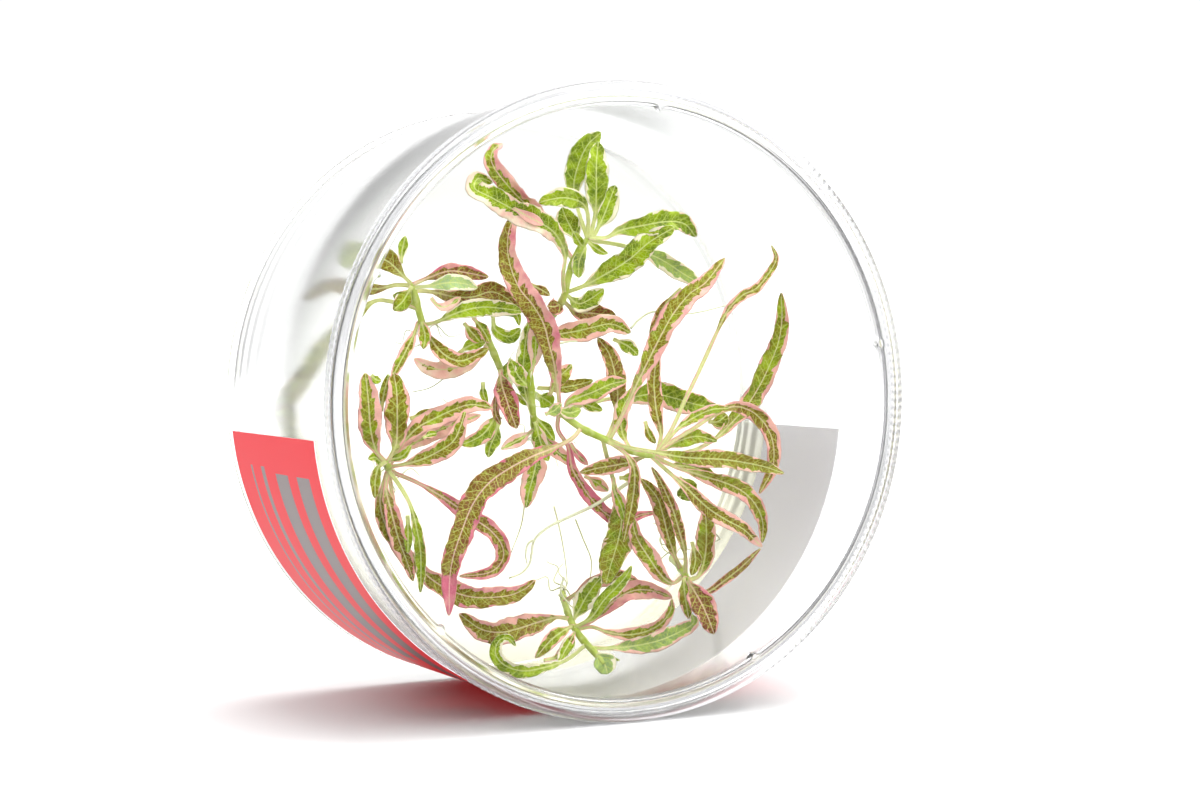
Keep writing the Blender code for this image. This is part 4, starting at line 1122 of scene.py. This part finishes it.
        (-8.6, -37, 25.2), (-12.2, -39.2, 24.2), (-16.2, -40.2, 23.6), (-19.6, -40.3, 23),
        (-22.6, -39.2, 22.4), (-24.1, -37.4, 22), (-23.6, -35.5, 21.8), (-21.9, -35.1, 21.8),
        (-20.7, -36.4, 22.2)]),
    "bottom_leaf_3": ("bottom", "pink", 2.8, 0.15, (0.7, 0.8, 0.4, 0.8), [
        (-10.7, -34.2, 28.7), (-7.4, -33.4, 27.6), (-5, -31.6, 26.8), (-2.4, -30, 26.2), (0.6, -29.2, 25.8),
        (3.6, -29.6, 25.4), (6.5, -30.8, 25)]),
    "bottom_leaf_4": ("bottom", "mint", 2.7, 0.1, (0.25, 0.35, 0, 0.4, 0.35), [
        (-8, -37.6, 24.6), (-5.6, -37.9, 23.4), (-2.4, -38, 22), (1.2, -37.7, 21), (4.8, -37.2, 20.2),
        (8, -36.2, 19.8), (10.2, -35, 20), (9.9, -33.7, 21)]),
}
print("leaves with solids:", len(LEAVES))

# %% [markdown]
# ## From the table to the leaves
#
# A leaf's route may start a few millimetres from its stem, and the midrib is then led back to the stem's
# nearest point. Every leaf draws its waves and teeth from a seed of its own, so two leaves never share them.

# %% Leaves
NEAREST_FOOT = 0.3
FARTHEST_FOOT = 6.0
FIRST_SEED = 11
# Leaves that are turned about their midribs as a whole, in degrees.
TURNS = {"top_leaf_1": 10.0}


def rooted(line, stem_line):
    """The midrib with first points on the way from its stem, so that the stalk grows out of it."""
    nearest = stem_line[np.linalg.norm(stem_line - line[0], axis=1).argmin()]
    gap = np.linalg.norm(nearest - line[0])
    if gap < NEAREST_FOOT or gap > FARTHEST_FOOT:
        return line
    steps = np.linspace(0, 1, 4)[:-1, None]
    return np.concatenate([nearest + (line[0] - nearest) * steps, line])


for number, (leaf_name, row) in enumerate(LEAVES.items()):
    shoot, slot, width, stalk, look, route = row
    line = rooted(kept_inside(smooth_route(route), BLADE_MARGIN), stem_lines[shoot])
    blade = leaf_arrays(line, width, stalk, TURNS.get(leaf_name, 0.0), look, FIRST_SEED + number)
    leaf = leaf_piece(leaf_name.replace("_leaf_", "_blade_"), [blade])
    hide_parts(leaf_name)
    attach(leaf, "root")
print("points of the last leaf:", len(leaf.data.vertices))

# %% [markdown]
# ## Small leaves
#
# Every shoot also has side shoots, young leaves and torn pieces that are too small for solids of their own.
# They are made by the same function and joined into one piece for each shoot. Each shoot has the slot of its
# small leaves, and an entry for each of them with its width, the share of its length that is stalk, its look
# and its route.

# %% Small leaf table
SMALL_LEAVES = {
    "top": ("green", [
        (3.2, 0.2, (0.1, 0.1, 0.1, 0.1), [
            (-8, 24.3, 19.2), (-9.5, 27, 20.6), (-10.4, 28.8, 21.2), (-11, 30.4, 21.4)]),
        (2.6, 0.4, (0.25, 0.4, 0, 0.15, 0.35), [
            (-6, 25.2, 18.6), (-2, 24.6, 19.6), (2.5, 23.4, 20.4), (6.5, 21.8, 21), (10, 19.6, 21.4),
            (13, 17.9, 21.6)]),
        (2.6, 0.1, (0.1, 0.1, 1, 0.6), [(-11.4, 15.9, 25.4), (-12.6, 15.2, 25), (-14, 15.3, 24.6)]),
        (2.7, 0.1, (0.3, 0.2, 0, 0), [
            (-10.6, 16.9, 23.6), (-8.6, 15.6, 24.2), (-6.4, 16.4, 24), (-4.2, 17.7, 23.4)]),
        (1.3, 0.1, (0.1, 0.1, 0.8, 0.4), [(-16.8, 18.8, 24), (-15, 17.9, 24.2), (-13.6, 17, 24.6)]),
        (1.4, 0.1, (0.1, 0.1, 0, 0), [(-7.6, 24.2, 18.6), (-8.6, 25.6, 17.6), (-9.3, 26.6, 17)]),
        (1.2, 0.1, (0.1, 0.2, 0, 0), [(-6.2, 24.6, 18), (-4.6, 23.6, 17), (-3.4, 23.2, 16.6)]),
        (2, 0.1, (0.1, 0.1, 0, 0, 0.2), [(-7.2, 24.2, 18.4), (-8.3, 22, 19), (-8.5, 19.6, 20)]),
        (1.5, 0.05, (1, 1, 0.1, 0.6), [
            (-19.4, 30.5, 13.9), (-17.6, 29.5, 13.6), (-15.9, 28.6, 13.6), (-14.4, 27.8, 14)]),
    ]),
    "left": ("olive", [
        (1.6, 0.1, (0.3, 0.4, 0.3, 0.6), [
            (-35.6, 13.4, 30), (-36.2, 12, 29), (-37, 10.4, 28.2), (-38.2, 8.2, 27.4), (-39.4, 6.2, 27),
            (-40.1, 4.6, 26.8)]),
        (2.2, 0.15, (0, 0.05, 0.8, 0.3), [
            (-36.6, 19, 26.8), (-39, 19.1, 28), (-42, 18.6, 29.5), (-46, 18.9, 31), (-50, 19.2, 32),
            (-54.2, 17.4, 32)]),
        (1.8, 0.1, (0.15, 0.15, 0, 0.1), [(-29, 8.6, 26.6), (-27.3, 9.6, 26.2), (-24.5, 10.3, 26.2)]),
        (1.4, 0.1, (0.9, 0.9, 0.1, 0.5), [
            (-33.3, 17.1, 25), (-32.4, 16, 24.6), (-31.2, 15.6, 24.4), (-29.8, 16.1, 24.4),
            (-28.5, 17, 24.6)]),
        (1.4, 0.1, (0.1, 0.1, 0, 0), [(-38.1, 22.3, 27.6), (-37.9, 24.4, 27.8), (-37.3, 26.4, 28)]),
        (4, 0.1, (0, 0, 0.3, 0, 0.3), [(-42, 22, 26), (-45, 23.5, 26), (-48, 22.5, 26)]),
        (2, 0.1, (0.1, 0.1, 0, 0), [
            (-23.2, 14, 24.6), (-22.8, 12, 24.4), (-20.5, 10.9, 24.2), (-18.6, 12, 24)]),
        (1.2, 0.1, (0, 0, 0, 0), [
            (-23.6, 14.2, 23.8), (-21, 14.6, 23.4), (-19.3, 14.2, 23.2), (-18.8, 12.5, 23.2)]),
        (2, 0.1, (0.3, 0.2, 0.3, 0.6), [(-28, 13.2, 25.6), (-26.8, 11.8, 25.8), (-25.4, 10.2, 26)]),
        (1.6, 0.1, (0.3, 0.3, 0.3, 0.6), [(-26.5, 14, 25), (-25, 12, 25.2), (-23.8, 10, 25.4)]),
        (2.4, 0.1, (0.1, 0.25, 0.2, 0.3), [(-36.4, 18.9, 26), (-37.8, 16.8, 26.4), (-39.6, 15.4, 26.8)]),
        (2.2, 0.1, (0.1, 0.3, 0.1, 0.4), [(-35.4, 15.4, 28), (-37, 17.2, 27.4), (-39.6, 17.6, 27)]),
        (1.8, 0.1, (0.3, 0.3, 0.2, 0.6), [(-35, 13.6, 29), (-34.4, 11.4, 28), (-34.8, 9.4, 27.4)]),
    ]),
    "lower_left": ("green", [
        (1.6, 0.3, (0.1, 0.1, 0.15, 0.3), [
            (-40.9, -8.6, 25.4), (-39.2, -11, 24), (-37.6, -14, 22.8), (-36.6, -17.6, 22),
            (-36, -21.4, 21.8), (-36.3, -27.2, 22.2)]),
        (2.2, 0.1, (0.8, 0.8, 0.1, 0.5), [
            (-40.7, -7.6, 25.6), (-38.6, -5.8, 25.8), (-36, -4.4, 25.8), (-33, -3, 25.6), (-30, -2.1, 25.4),
            (-25.6, -0.9, 25.2)]),
        (1.2, 0.1, (0.1, 0.1, 0.2, 0.2), [(-43.4, 5.8, 22.6), (-42.6, 5, 22.4), (-41.8, 4.9, 22.2)]),
        (1.3, 0.1, (0, 0.1, 0.3, 0.3), [(-41.9, 0.3, 23.4), (-41.4, 3, 23.4), (-40.6, 5.8, 23.6)]),
        (1.2, 0.1, (0.2, 0.2, 0.3, 0.5), [(-37.3, -1, 23.6), (-35, -0.4, 23.4), (-33, 0.1, 23.2)]),
        (1.2, 0.1, (0.3, 0.3, 0.1, 0.5), [(-35.2, -4, 21), (-34, -3.5, 20.8), (-33, -3.4, 20.8)]),
        (1.5, 0.1, (0.1, 0.1, 0.3, 0.3), [(-42.6, -8, 24.4), (-43.2, -10, 24.4), (-43.3, -12.6, 24.6)]),
        (1.2, 0.1, (0, 0, 0, 0), [(-38, -15.5, 23.2), (-38, -18, 23), (-38.2, -21.2, 23)]),
        (1.6, 0.1, (0.2, 0.2, 0.05, 0.3), [(-41.6, -7.8, 25), (-43, -6.6, 24.2), (-44.2, -6.8, 23.8)]),
        (1.3, 0.1, (0.1, 0.3, 0.1, 0.4), [(-40.6, -7, 24.6), (-38.6, -6.6, 23), (-37.2, -5, 22.2)]),
        (2, 0.1, (0.35, 0.2, 0.5, 0.7), [
            (-41.4, -9, 27), (-42.4, -13, 26.4), (-41.6, -17, 26), (-39.8, -20.4, 25.8),
            (-38, -23.4, 25.8)]),
    ]),
    "side": ("green", [
        (2.3, 0.1, (0.1, 0.35, 0.1, 0.45), [
            (-22.9, -0.6, 28.6), (-23.6, -2, 27), (-25.2, -3.7, 26), (-27.2, -4.7, 25.4),
            (-29.1, -5.3, 25)]),
        (2, 0.1, (0.05, 0.05, 0, 0), [
            (-22.6, -2.2, 30), (-23.3, -4, 28.4), (-24.2, -5.8, 27.6), (-24.5, -7.4, 27.2)]),
        (1.1, 0.1, (0.1, 0.1, 0, 0), [(-25.1, 4.1, 26), (-25, 2.3, 26), (-24.4, 0.9, 26)]),
        (1.2, 0.1, (0.3, 0.3, 0.8, 0.8), [(-22.8, 3, 27), (-23.2, -0.5, 26.6), (-22.3, -2.5, 26.4)]),
        (1.4, 0.1, (0.1, 0.1, 0, 0), [(-20.3, 7.5, 26), (-20.8, 5.8, 26), (-21.2, 4.6, 26)]),
        (1.4, 0.1, (0.1, 0.1, 0.1, 0), [(-20, 5, 25.4), (-18.7, 4, 25.2), (-17.8, 3.4, 25)]),
        (1.3, 0.1, (0, 0.1, 0, 0), [(-19.7, 2, 25.6), (-18, 1, 25.4), (-17, 0.6, 25.2)]),
        (1.8, 0.1, (0.7, 0.7, 0.1, 0.45), [(-16.8, -3.5, 26.6), (-19, -4.8, 26.2), (-22.3, -6.3, 26)]),
    ]),
    "middle": ("green", [
        (2.4, 0.1, (0.35, 0.05, 0, 0.1), [
            (-16.9, -1.4, 24.5), (-17.8, 1.5, 23.6), (-18.3, 4.5, 22.4), (-18.2, 7.5, 21.4),
            (-17.7, 10.5, 20.8), (-16.9, 13.3, 20.6)]),
        (2.3, 0.1, (0.7, 0.8, 0.1, 0.45), [
            (-17.1, 4.8, 21.7), (-16.4, 7, 20.6), (-16.1, 9.5, 20), (-15.6, 13.7, 19.6)]),
        (3, 0.15, (0.5, 0.55, 0.1, 0.5), [
            (-16.6, -4.9, 32.5), (-16.4, -7.4, 29), (-16.9, -10.2, 27.4), (-17.7, -12.9, 26.8),
            (-18.4, -15.4, 26.6)]),
        (1.6, 0.1, (0.1, 0.3, 0, 0.2), [(-9.3, 0.8, 22), (-7.2, -0.2, 21.6), (-5, -1, 21.4)]),
        (1.8, 0.1, (0.1, 0.1, 0.45, 0.3), [
            (-16, 2.9, 24.6), (-12.5, 2.7, 24.2), (-9.5, 3, 23.6), (-6.5, 3.7, 23.2)]),
        (2.4, 0.1, (0.1, 0.1, 0, 0), [(-16, 1.8, 25.4), (-14.5, 1, 25), (-13.5, 0.2, 24.8)]),
        (1.8, 0.1, (0.5, 0.3, 0, 0.4, 0.3), [(-14.8, -1.2, 22), (-13.3, -0.7, 21.6), (-12, 0.3, 21.4)]),
        (1.6, 0.1, (0.2, 0.2, 0.05, 0.1), [(-16.2, -1.8, 25), (-14.9, -3.3, 24.6), (-13.3, -5.3, 24.4)]),
        (2, 0.1, (0.7, 0.7, 0.05, 0.5), [
            (-15, -4.6, 26), (-13, -7, 25.6), (-11, -8.5, 25.4), (-9.8, -9.5, 25.2)]),
        (2.2, 0.1, (0.4, 0.2, 0.05, 0.4), [(-16.4, -2.6, 24.8), (-15.4, -6, 24.4), (-14.4, -8.4, 24.2)]),
        (2, 0.1, (0.15, 0.1, 0, 0.1), [(-2.8, 10, 24.6), (-0.3, 8.8, 24.2), (1.4, 7.3, 24)]),
        (1.8, 0.1, (0.3, 0.3, 0, 0.3, 0.2), [(-12.8, -0.4, 21.8), (-10.6, -1.2, 20.6), (-8.6, -0.8, 20)]),
        (2.4, 0.15, (0.3, 0.2, 0.05, 0.35), [(-17, 2.6, 22.6), (-19, 4.6, 22), (-20.4, 7.4, 21.6)]),
        (2.2, 0.1, (0.4, 0.3, 0.3, 0.6), [(-14, 1.6, 23.6), (-12.4, 4.2, 22.8), (-10, 6.2, 22.4)]),
    ]),
    "right": ("olive", [
        (2.1, 0.15, (0.2, 0.2, 0.6, 0.6), [
            (4.3, -8.2, 12.9), (5.2, -5, 14.8), (4.4, -1.2, 16.8), (4.1, 2.2, 18), (4.5, 5.4, 18.8),
            (5.1, 8.4, 19.4)]),
        (2.3, 0.1, (0.3, 0.3, 0.6, 0.7), [
            (2.6, -8.3, 13.6), (-0.5, -9.3, 16), (-3.6, -9.7, 17.2), (-6.2, -9.9, 18.2),
            (-9, -10.4, 19.6)]),
        (1.8, 0.1, (0.25, 0.2, 0.5, 0.7), [
            (-3.9, -5.9, 15.2), (-1.2, -7.9, 13.4), (0.3, -10.2, 13.2), (0.4, -13, 14.4), (-0.3, -16, 15.8),
            (-1.7, -21.5, 17.4)]),
        (1.2, 0.1, (0.7, 0.7, 0.1, 0.9), [(-10.6, -5.8, 23.4), (-9.3, -7.8, 23.4), (-7.7, -9.3, 23.4)]),
        (1.8, 0.1, (0.7, 0.8, 0.1, 0.5), [(-8.3, -11, 25.6), (-6.3, -12, 25.8), (-4.3, -13.5, 26)]),
        (1.8, 0.1, (0.4, 0.4, 0.05, 0.6), [
            (-3.3, -11.5, 18.8), (-3.2, -13.5, 19.2), (-2, -16, 19.4), (-1.3, -18.5, 19.6)]),
        (1.3, 0.1, (0.2, 0.2, 0.1, 0.4), [(-2.3, -11.6, 17.6), (-0.8, -11.7, 17.4), (0.6, -11.4, 17.4)]),
        (3, 0.1, (0.05, 0.05, 0, 0), [(8.2, -12, 25.6), (9.4, -13.4, 26), (9.9, -15.8, 26.4)]),
        (1.2, 0.1, (0.3, 0.3, 0.3, 0.6), [(2.4, -3, 17), (3, -5, 16.6), (4.2, -6.5, 16)]),
        (1.3, 0.1, (0.1, 0.1, 0.75, 0.5), [
            (9.3, 17.5, 17), (6.5, 15, 17.4), (4.5, 12, 17.8), (3.4, 9, 18)]),
        (2.6, 0.1, (0.1, 0.2, 0.25, 0.3), [(13.6, -3.5, 25.4), (15.3, -3.6, 25.2), (17, -2.6, 25)]),
        (2.2, 0.2, (0.3, 0.2, 0.2, 0.5), [
            (4.4, -8.4, 13.6), (8, -6.4, 16.4), (11.6, -5.8, 18.4), (15, -6.6, 19.4)]),
        (2, 0.3, (0.3, 0.3, 0.3, 0.6), [
            (4.2, -8.8, 13), (7, -10, 15.6), (10.6, -10.6, 17.4), (14.4, -11.8, 18.6)]),
        (2.2, 0.15, (0.3, 0.3, 0.15, 0.45), [
            (0, -7.6, 14.6), (-1.6, -4.6, 16.4), (-1.4, -1, 17.4), (0.6, 2.4, 18)]),
        (1.6, 0.3, (0.3, 0.3, 0.2, 0.5), [
            (4.2, -8, 13.2), (8.6, -4.2, 15.2), (13.4, -1.8, 16.4), (17.6, -1.6, 17.4)]),
    ]),
    "lower_right": ("brown", [
        (1.7, 0.1, (0.2, 0.25, 0.7, 0.7), [
            (9, -27.4, 21.6), (9, -24, 20.2), (7.9, -20.2, 19.2), (6.6, -16, 18.6), (5, -12.6, 18.2),
            (3.4, -10.2, 18.2)]),
        (1.3, 0.1, (0.1, 0.25, 0.9, 0.6), [
            (9.3, -28, 20.8), (11, -29.8, 21.4), (13, -30.3, 21.2), (16, -28.7, 20.6), (19.4, -26.4, 20),
            (22.5, -24.1, 19.4)]),
        (1.7, 0.1, (0.1, 0.1, 0.45, 0.3), [(10.3, -22.2, 19.4), (10.8, -25, 19.4), (10, -27.5, 19.6)]),
        (1.8, 0.1, (0.3, 0.2, 0.3, 0.6), [(8.6, -27.8, 20.6), (8.9, -31, 19.6), (9.3, -34.3, 18.8)]),
        (1.6, 0.1, (0.2, 0.3, 0.6, 0.7), [(9.4, -28.4, 20), (10.6, -31.6, 19.2), (12.6, -34.8, 18.6)]),
    ]),
    "bottom": ("pink", [
        (1.9, 0.15, (0.45, 0.45, 0.35, 0.65), [
            (-10.4, -34.6, 28.2), (-7.6, -34.4, 26.4), (-5, -35.4, 25), (-2, -36.1, 24), (1.2, -35.9, 23.2),
            (4.2, -34.8, 22.6), (6.2, -32.8, 22.4), (6.5, -31, 22.6)]),
        (1.9, 0.1, (0.1, 0.1, 0, 0.1), [
            (-10.3, -34.2, 27.8), (-7.6, -32.9, 25.6), (-5.4, -30.5, 24.2), (-3.2, -28.6, 23.6),
            (-1.6, -27, 23.4), (-0.5, -25.4, 23.4)]),
        (3, 0.1, (0.3, 0.3, 0, 0), [
            (-11, -33.6, 30), (-9.8, -31.8, 29.6), (-8.5, -29.7, 29.4), (-7.1, -28, 29.4),
            (-5.9, -26.9, 29.4)]),
        (2, 0.1, (0.25, 0.3, 0.25, 0.6), [
            (-10.9, -34, 28.4), (-13, -35, 26.8), (-15.2, -36.4, 26.4), (-17.4, -38.5, 26)]),
        (2.2, 0.15, (0.4, 0.35, 0.5, 0.7), [
            (-12.2, -30.2, 36), (-9.6, -28.8, 33), (-7, -27.5, 31.2), (-4, -26.9, 30.2), (-1, -27.4, 29.6),
            (0.8, -28.3, 29.4)]),
        (0.7, 0.1, (0.1, 0.1, 0, 0.1), [(-6.5, -38.7, 22.6), (-4.8, -39.4, 22.2), (-3, -39.9, 22)]),
        (1.3, 0.1, (0.3, 0.3, 0.3, 0.5), [
            (-16, -39, 25), (-13.5, -38.6, 25.6), (-11.5, -36.5, 26.4), (-10.6, -35, 27.2)]),
        (1.8, 0.1, (0.1, 0.3, 0.1, 0.2), [(-10.4, -34.8, 28), (-12, -37.4, 25.6), (-13.4, -39.6, 24.4)]),
        (3.4, 0.05, (0.1, 0.1, 0, 0, 0.45), [(-6.6, -38.9, 22.4), (-5.5, -40.6, 21.6), (-5, -42.4, 21.2)]),
    ]),
}
print("shoots with small leaves:", len(SMALL_LEAVES))

# %% [markdown]
# ## One piece for each shoot
#
# The small leaves of a shoot are many, and alike in colour and slot, so one mesh is enough for them. Only a
# small leaf that starts close by the stem is led back to it; the others stay where their routes put them.

# %% Small leaves
STALK_REACH = 2.5
FIRST_SMALL_SEED = 200
SEEDS_PER_SHOOT = 40


def small_leaf_group(shoot, rows, first_seed):
    """Joins the small leaves of one shoot; one that starts by the stem grows out of it."""
    stem_line = stem_lines[shoot]
    blades = []
    for number, (width, stalk, look, route) in enumerate(rows):
        line = kept_inside(smooth_route(route), BLADE_MARGIN)
        if np.linalg.norm(stem_line - line[0], axis=1).min() < STALK_REACH:
            line = rooted(line, stem_line)
        blades.append(leaf_arrays(line, width, stalk, 0.0, look, first_seed + number))
    return leaf_piece(shoot + "_small_leaves", blades)


for number, (shoot, (slot, rows)) in enumerate(SMALL_LEAVES.items()):
    group = small_leaf_group(shoot, rows, FIRST_SMALL_SEED + SEEDS_PER_SHOOT * number)
    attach(group, "root")
print("small leaves:", sum(len(rows) for _, rows in SMALL_LEAVES.values()))

# %% [markdown]
# ## Strands and roots
#
# Thin pale roots and bare stalks hang between the shoots and in the jelly. Each is a very thin round tube
# along a route, and all of them are one piece. A strand's entry is its radius and its route. The roots wander
# off from each stem's foot, every one by its own random draws.

# %% Strands and roots
STRANDS = [
    (0.34, [
        (0, -12, 22), (-6, -15.3, 24), (-10.5, -17, 25), (-14.5, -18.5, 25.4), (-17, -20.3, 25.6),
        (-17.6, -22.5, 25.8), (-18, -24, 26), (-19.3, -25.3, 26), (-21.5, -26, 26)]),
    (0.2, [(-17.3, -20.4, 25.6), (-18.2, -21, 25.7), (-18.6, -22.6, 25.8), (-18.4, -24, 26)]),
    (0.22, [
        (0.3, 11.5, 21), (2, 13, 21), (4.5, 14, 20.6), (9.5, 13.5, 20), (13, 13.8, 19.6), (18, 14.8, 19)]),
    (0.22, [(-13, 9.4, 24), (-10, 9.8, 24), (-7.5, 9.7, 24)]),
    (0.35, [(-4.6, -5.8, 17), (-4.8, -6.5, 18), (-3.8, -9, 20)]),
    (0.16, [(-13.6, -15.4, 34), (-12.6, -19.6, 33), (-11.9, -23.8, 32), (-11.6, -27.6, 31.4)]),
    (0.16, [
        (-10, -17.6, 34), (-8.8, -20.6, 33), (-7.4, -24.4, 32), (-8.2, -28.2, 31), (-9.6, -30.6, 30.6)]),
    (0.2, [(-12.2, -26.4, 31), (-12.8, -28.6, 30.6), (-11.6, -30.4, 30.4), (-10.4, -31.6, 30.4)]),
    (0.16, [(-28, 9, 37), (-31, 5.4, 39), (-33.8, 3.6, 41), (-37, 3, 43)]),
    (0.16, [(-22, -1.6, 37), (-25.6, 0.8, 39), (-29.4, 0.2, 41), (-32, 1.8, 43)]),
    (0.14, [(-18.4, -13.6, 38), (-19.2, -17.8, 40), (-21.2, -22.2, 42)]),
    (0.14, [(12.4, -18, 38), (14.8, -21.6, 40), (17.8, -25.4, 42)]),
]
STRAND_MARGIN = 2.0
STRAND_STATIONS = 44
STRAND_COLUMNS = 8
ROOTS_PER_STEM = 5
ROOT_RADIUS = 0.13
ROOT_LENGTH = 7.0
ROOT_STATIONS = 24
FOOT_IN_JELLY = JELLY_REACH - 0.8
FIRST_ROOT_SEED = 900


def root_line(foot, number):
    """A root wanders off from the stem's foot into the jelly: a straight way with a slow sideways wave."""
    random = np.random.default_rng(FIRST_ROOT_SEED + number)
    bearing = random.uniform(0, 2 * np.pi)
    t = np.linspace(0, 1, ROOT_STATIONS)
    out = ROOT_LENGTH * random.uniform(0.5, 1.0) * t
    wave = 0.7 * np.sin(2 * np.pi * t * random.uniform(0.8, 1.8) + random.uniform(0, 6))
    across = foot[0] + out * math.cos(bearing) - wave * math.sin(bearing)
    up = foot[1] + out * math.sin(bearing) + wave * math.cos(bearing)
    return seen(across, up, FOOT_IN_JELLY + (4.0 + 3.0 * random.random()) * t)


def strand_sections(line, radius):
    """A thin round tube whose radius falls evenly to two fifths at its end."""
    stations, run = evenly_spaced(kept_inside(line, STRAND_MARGIN), STRAND_STATIONS)
    return round_sections(stations, radius * (1 - 0.6 * run / run[-1]), STRAND_COLUMNS)


strands = [strand_sections(smooth_route(route), radius) for radius, route in STRANDS]
for number, route in enumerate(STEMS.values()):
    strands += [strand_sections(root_line(route[0], number * ROOTS_PER_STEM + i), ROOT_RADIUS)
                for i in range(ROOTS_PER_STEM)]
root_white = new_material("root", Base_Color=(0.82, 0.84, 0.58), Roughness=0.4)[0]
roots = tubes("roots_and_strands", strands, [root_white])
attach(roots, "root")
print("strands:", len(STRANDS), "roots:", len(STEMS) * ROOTS_PER_STEM)
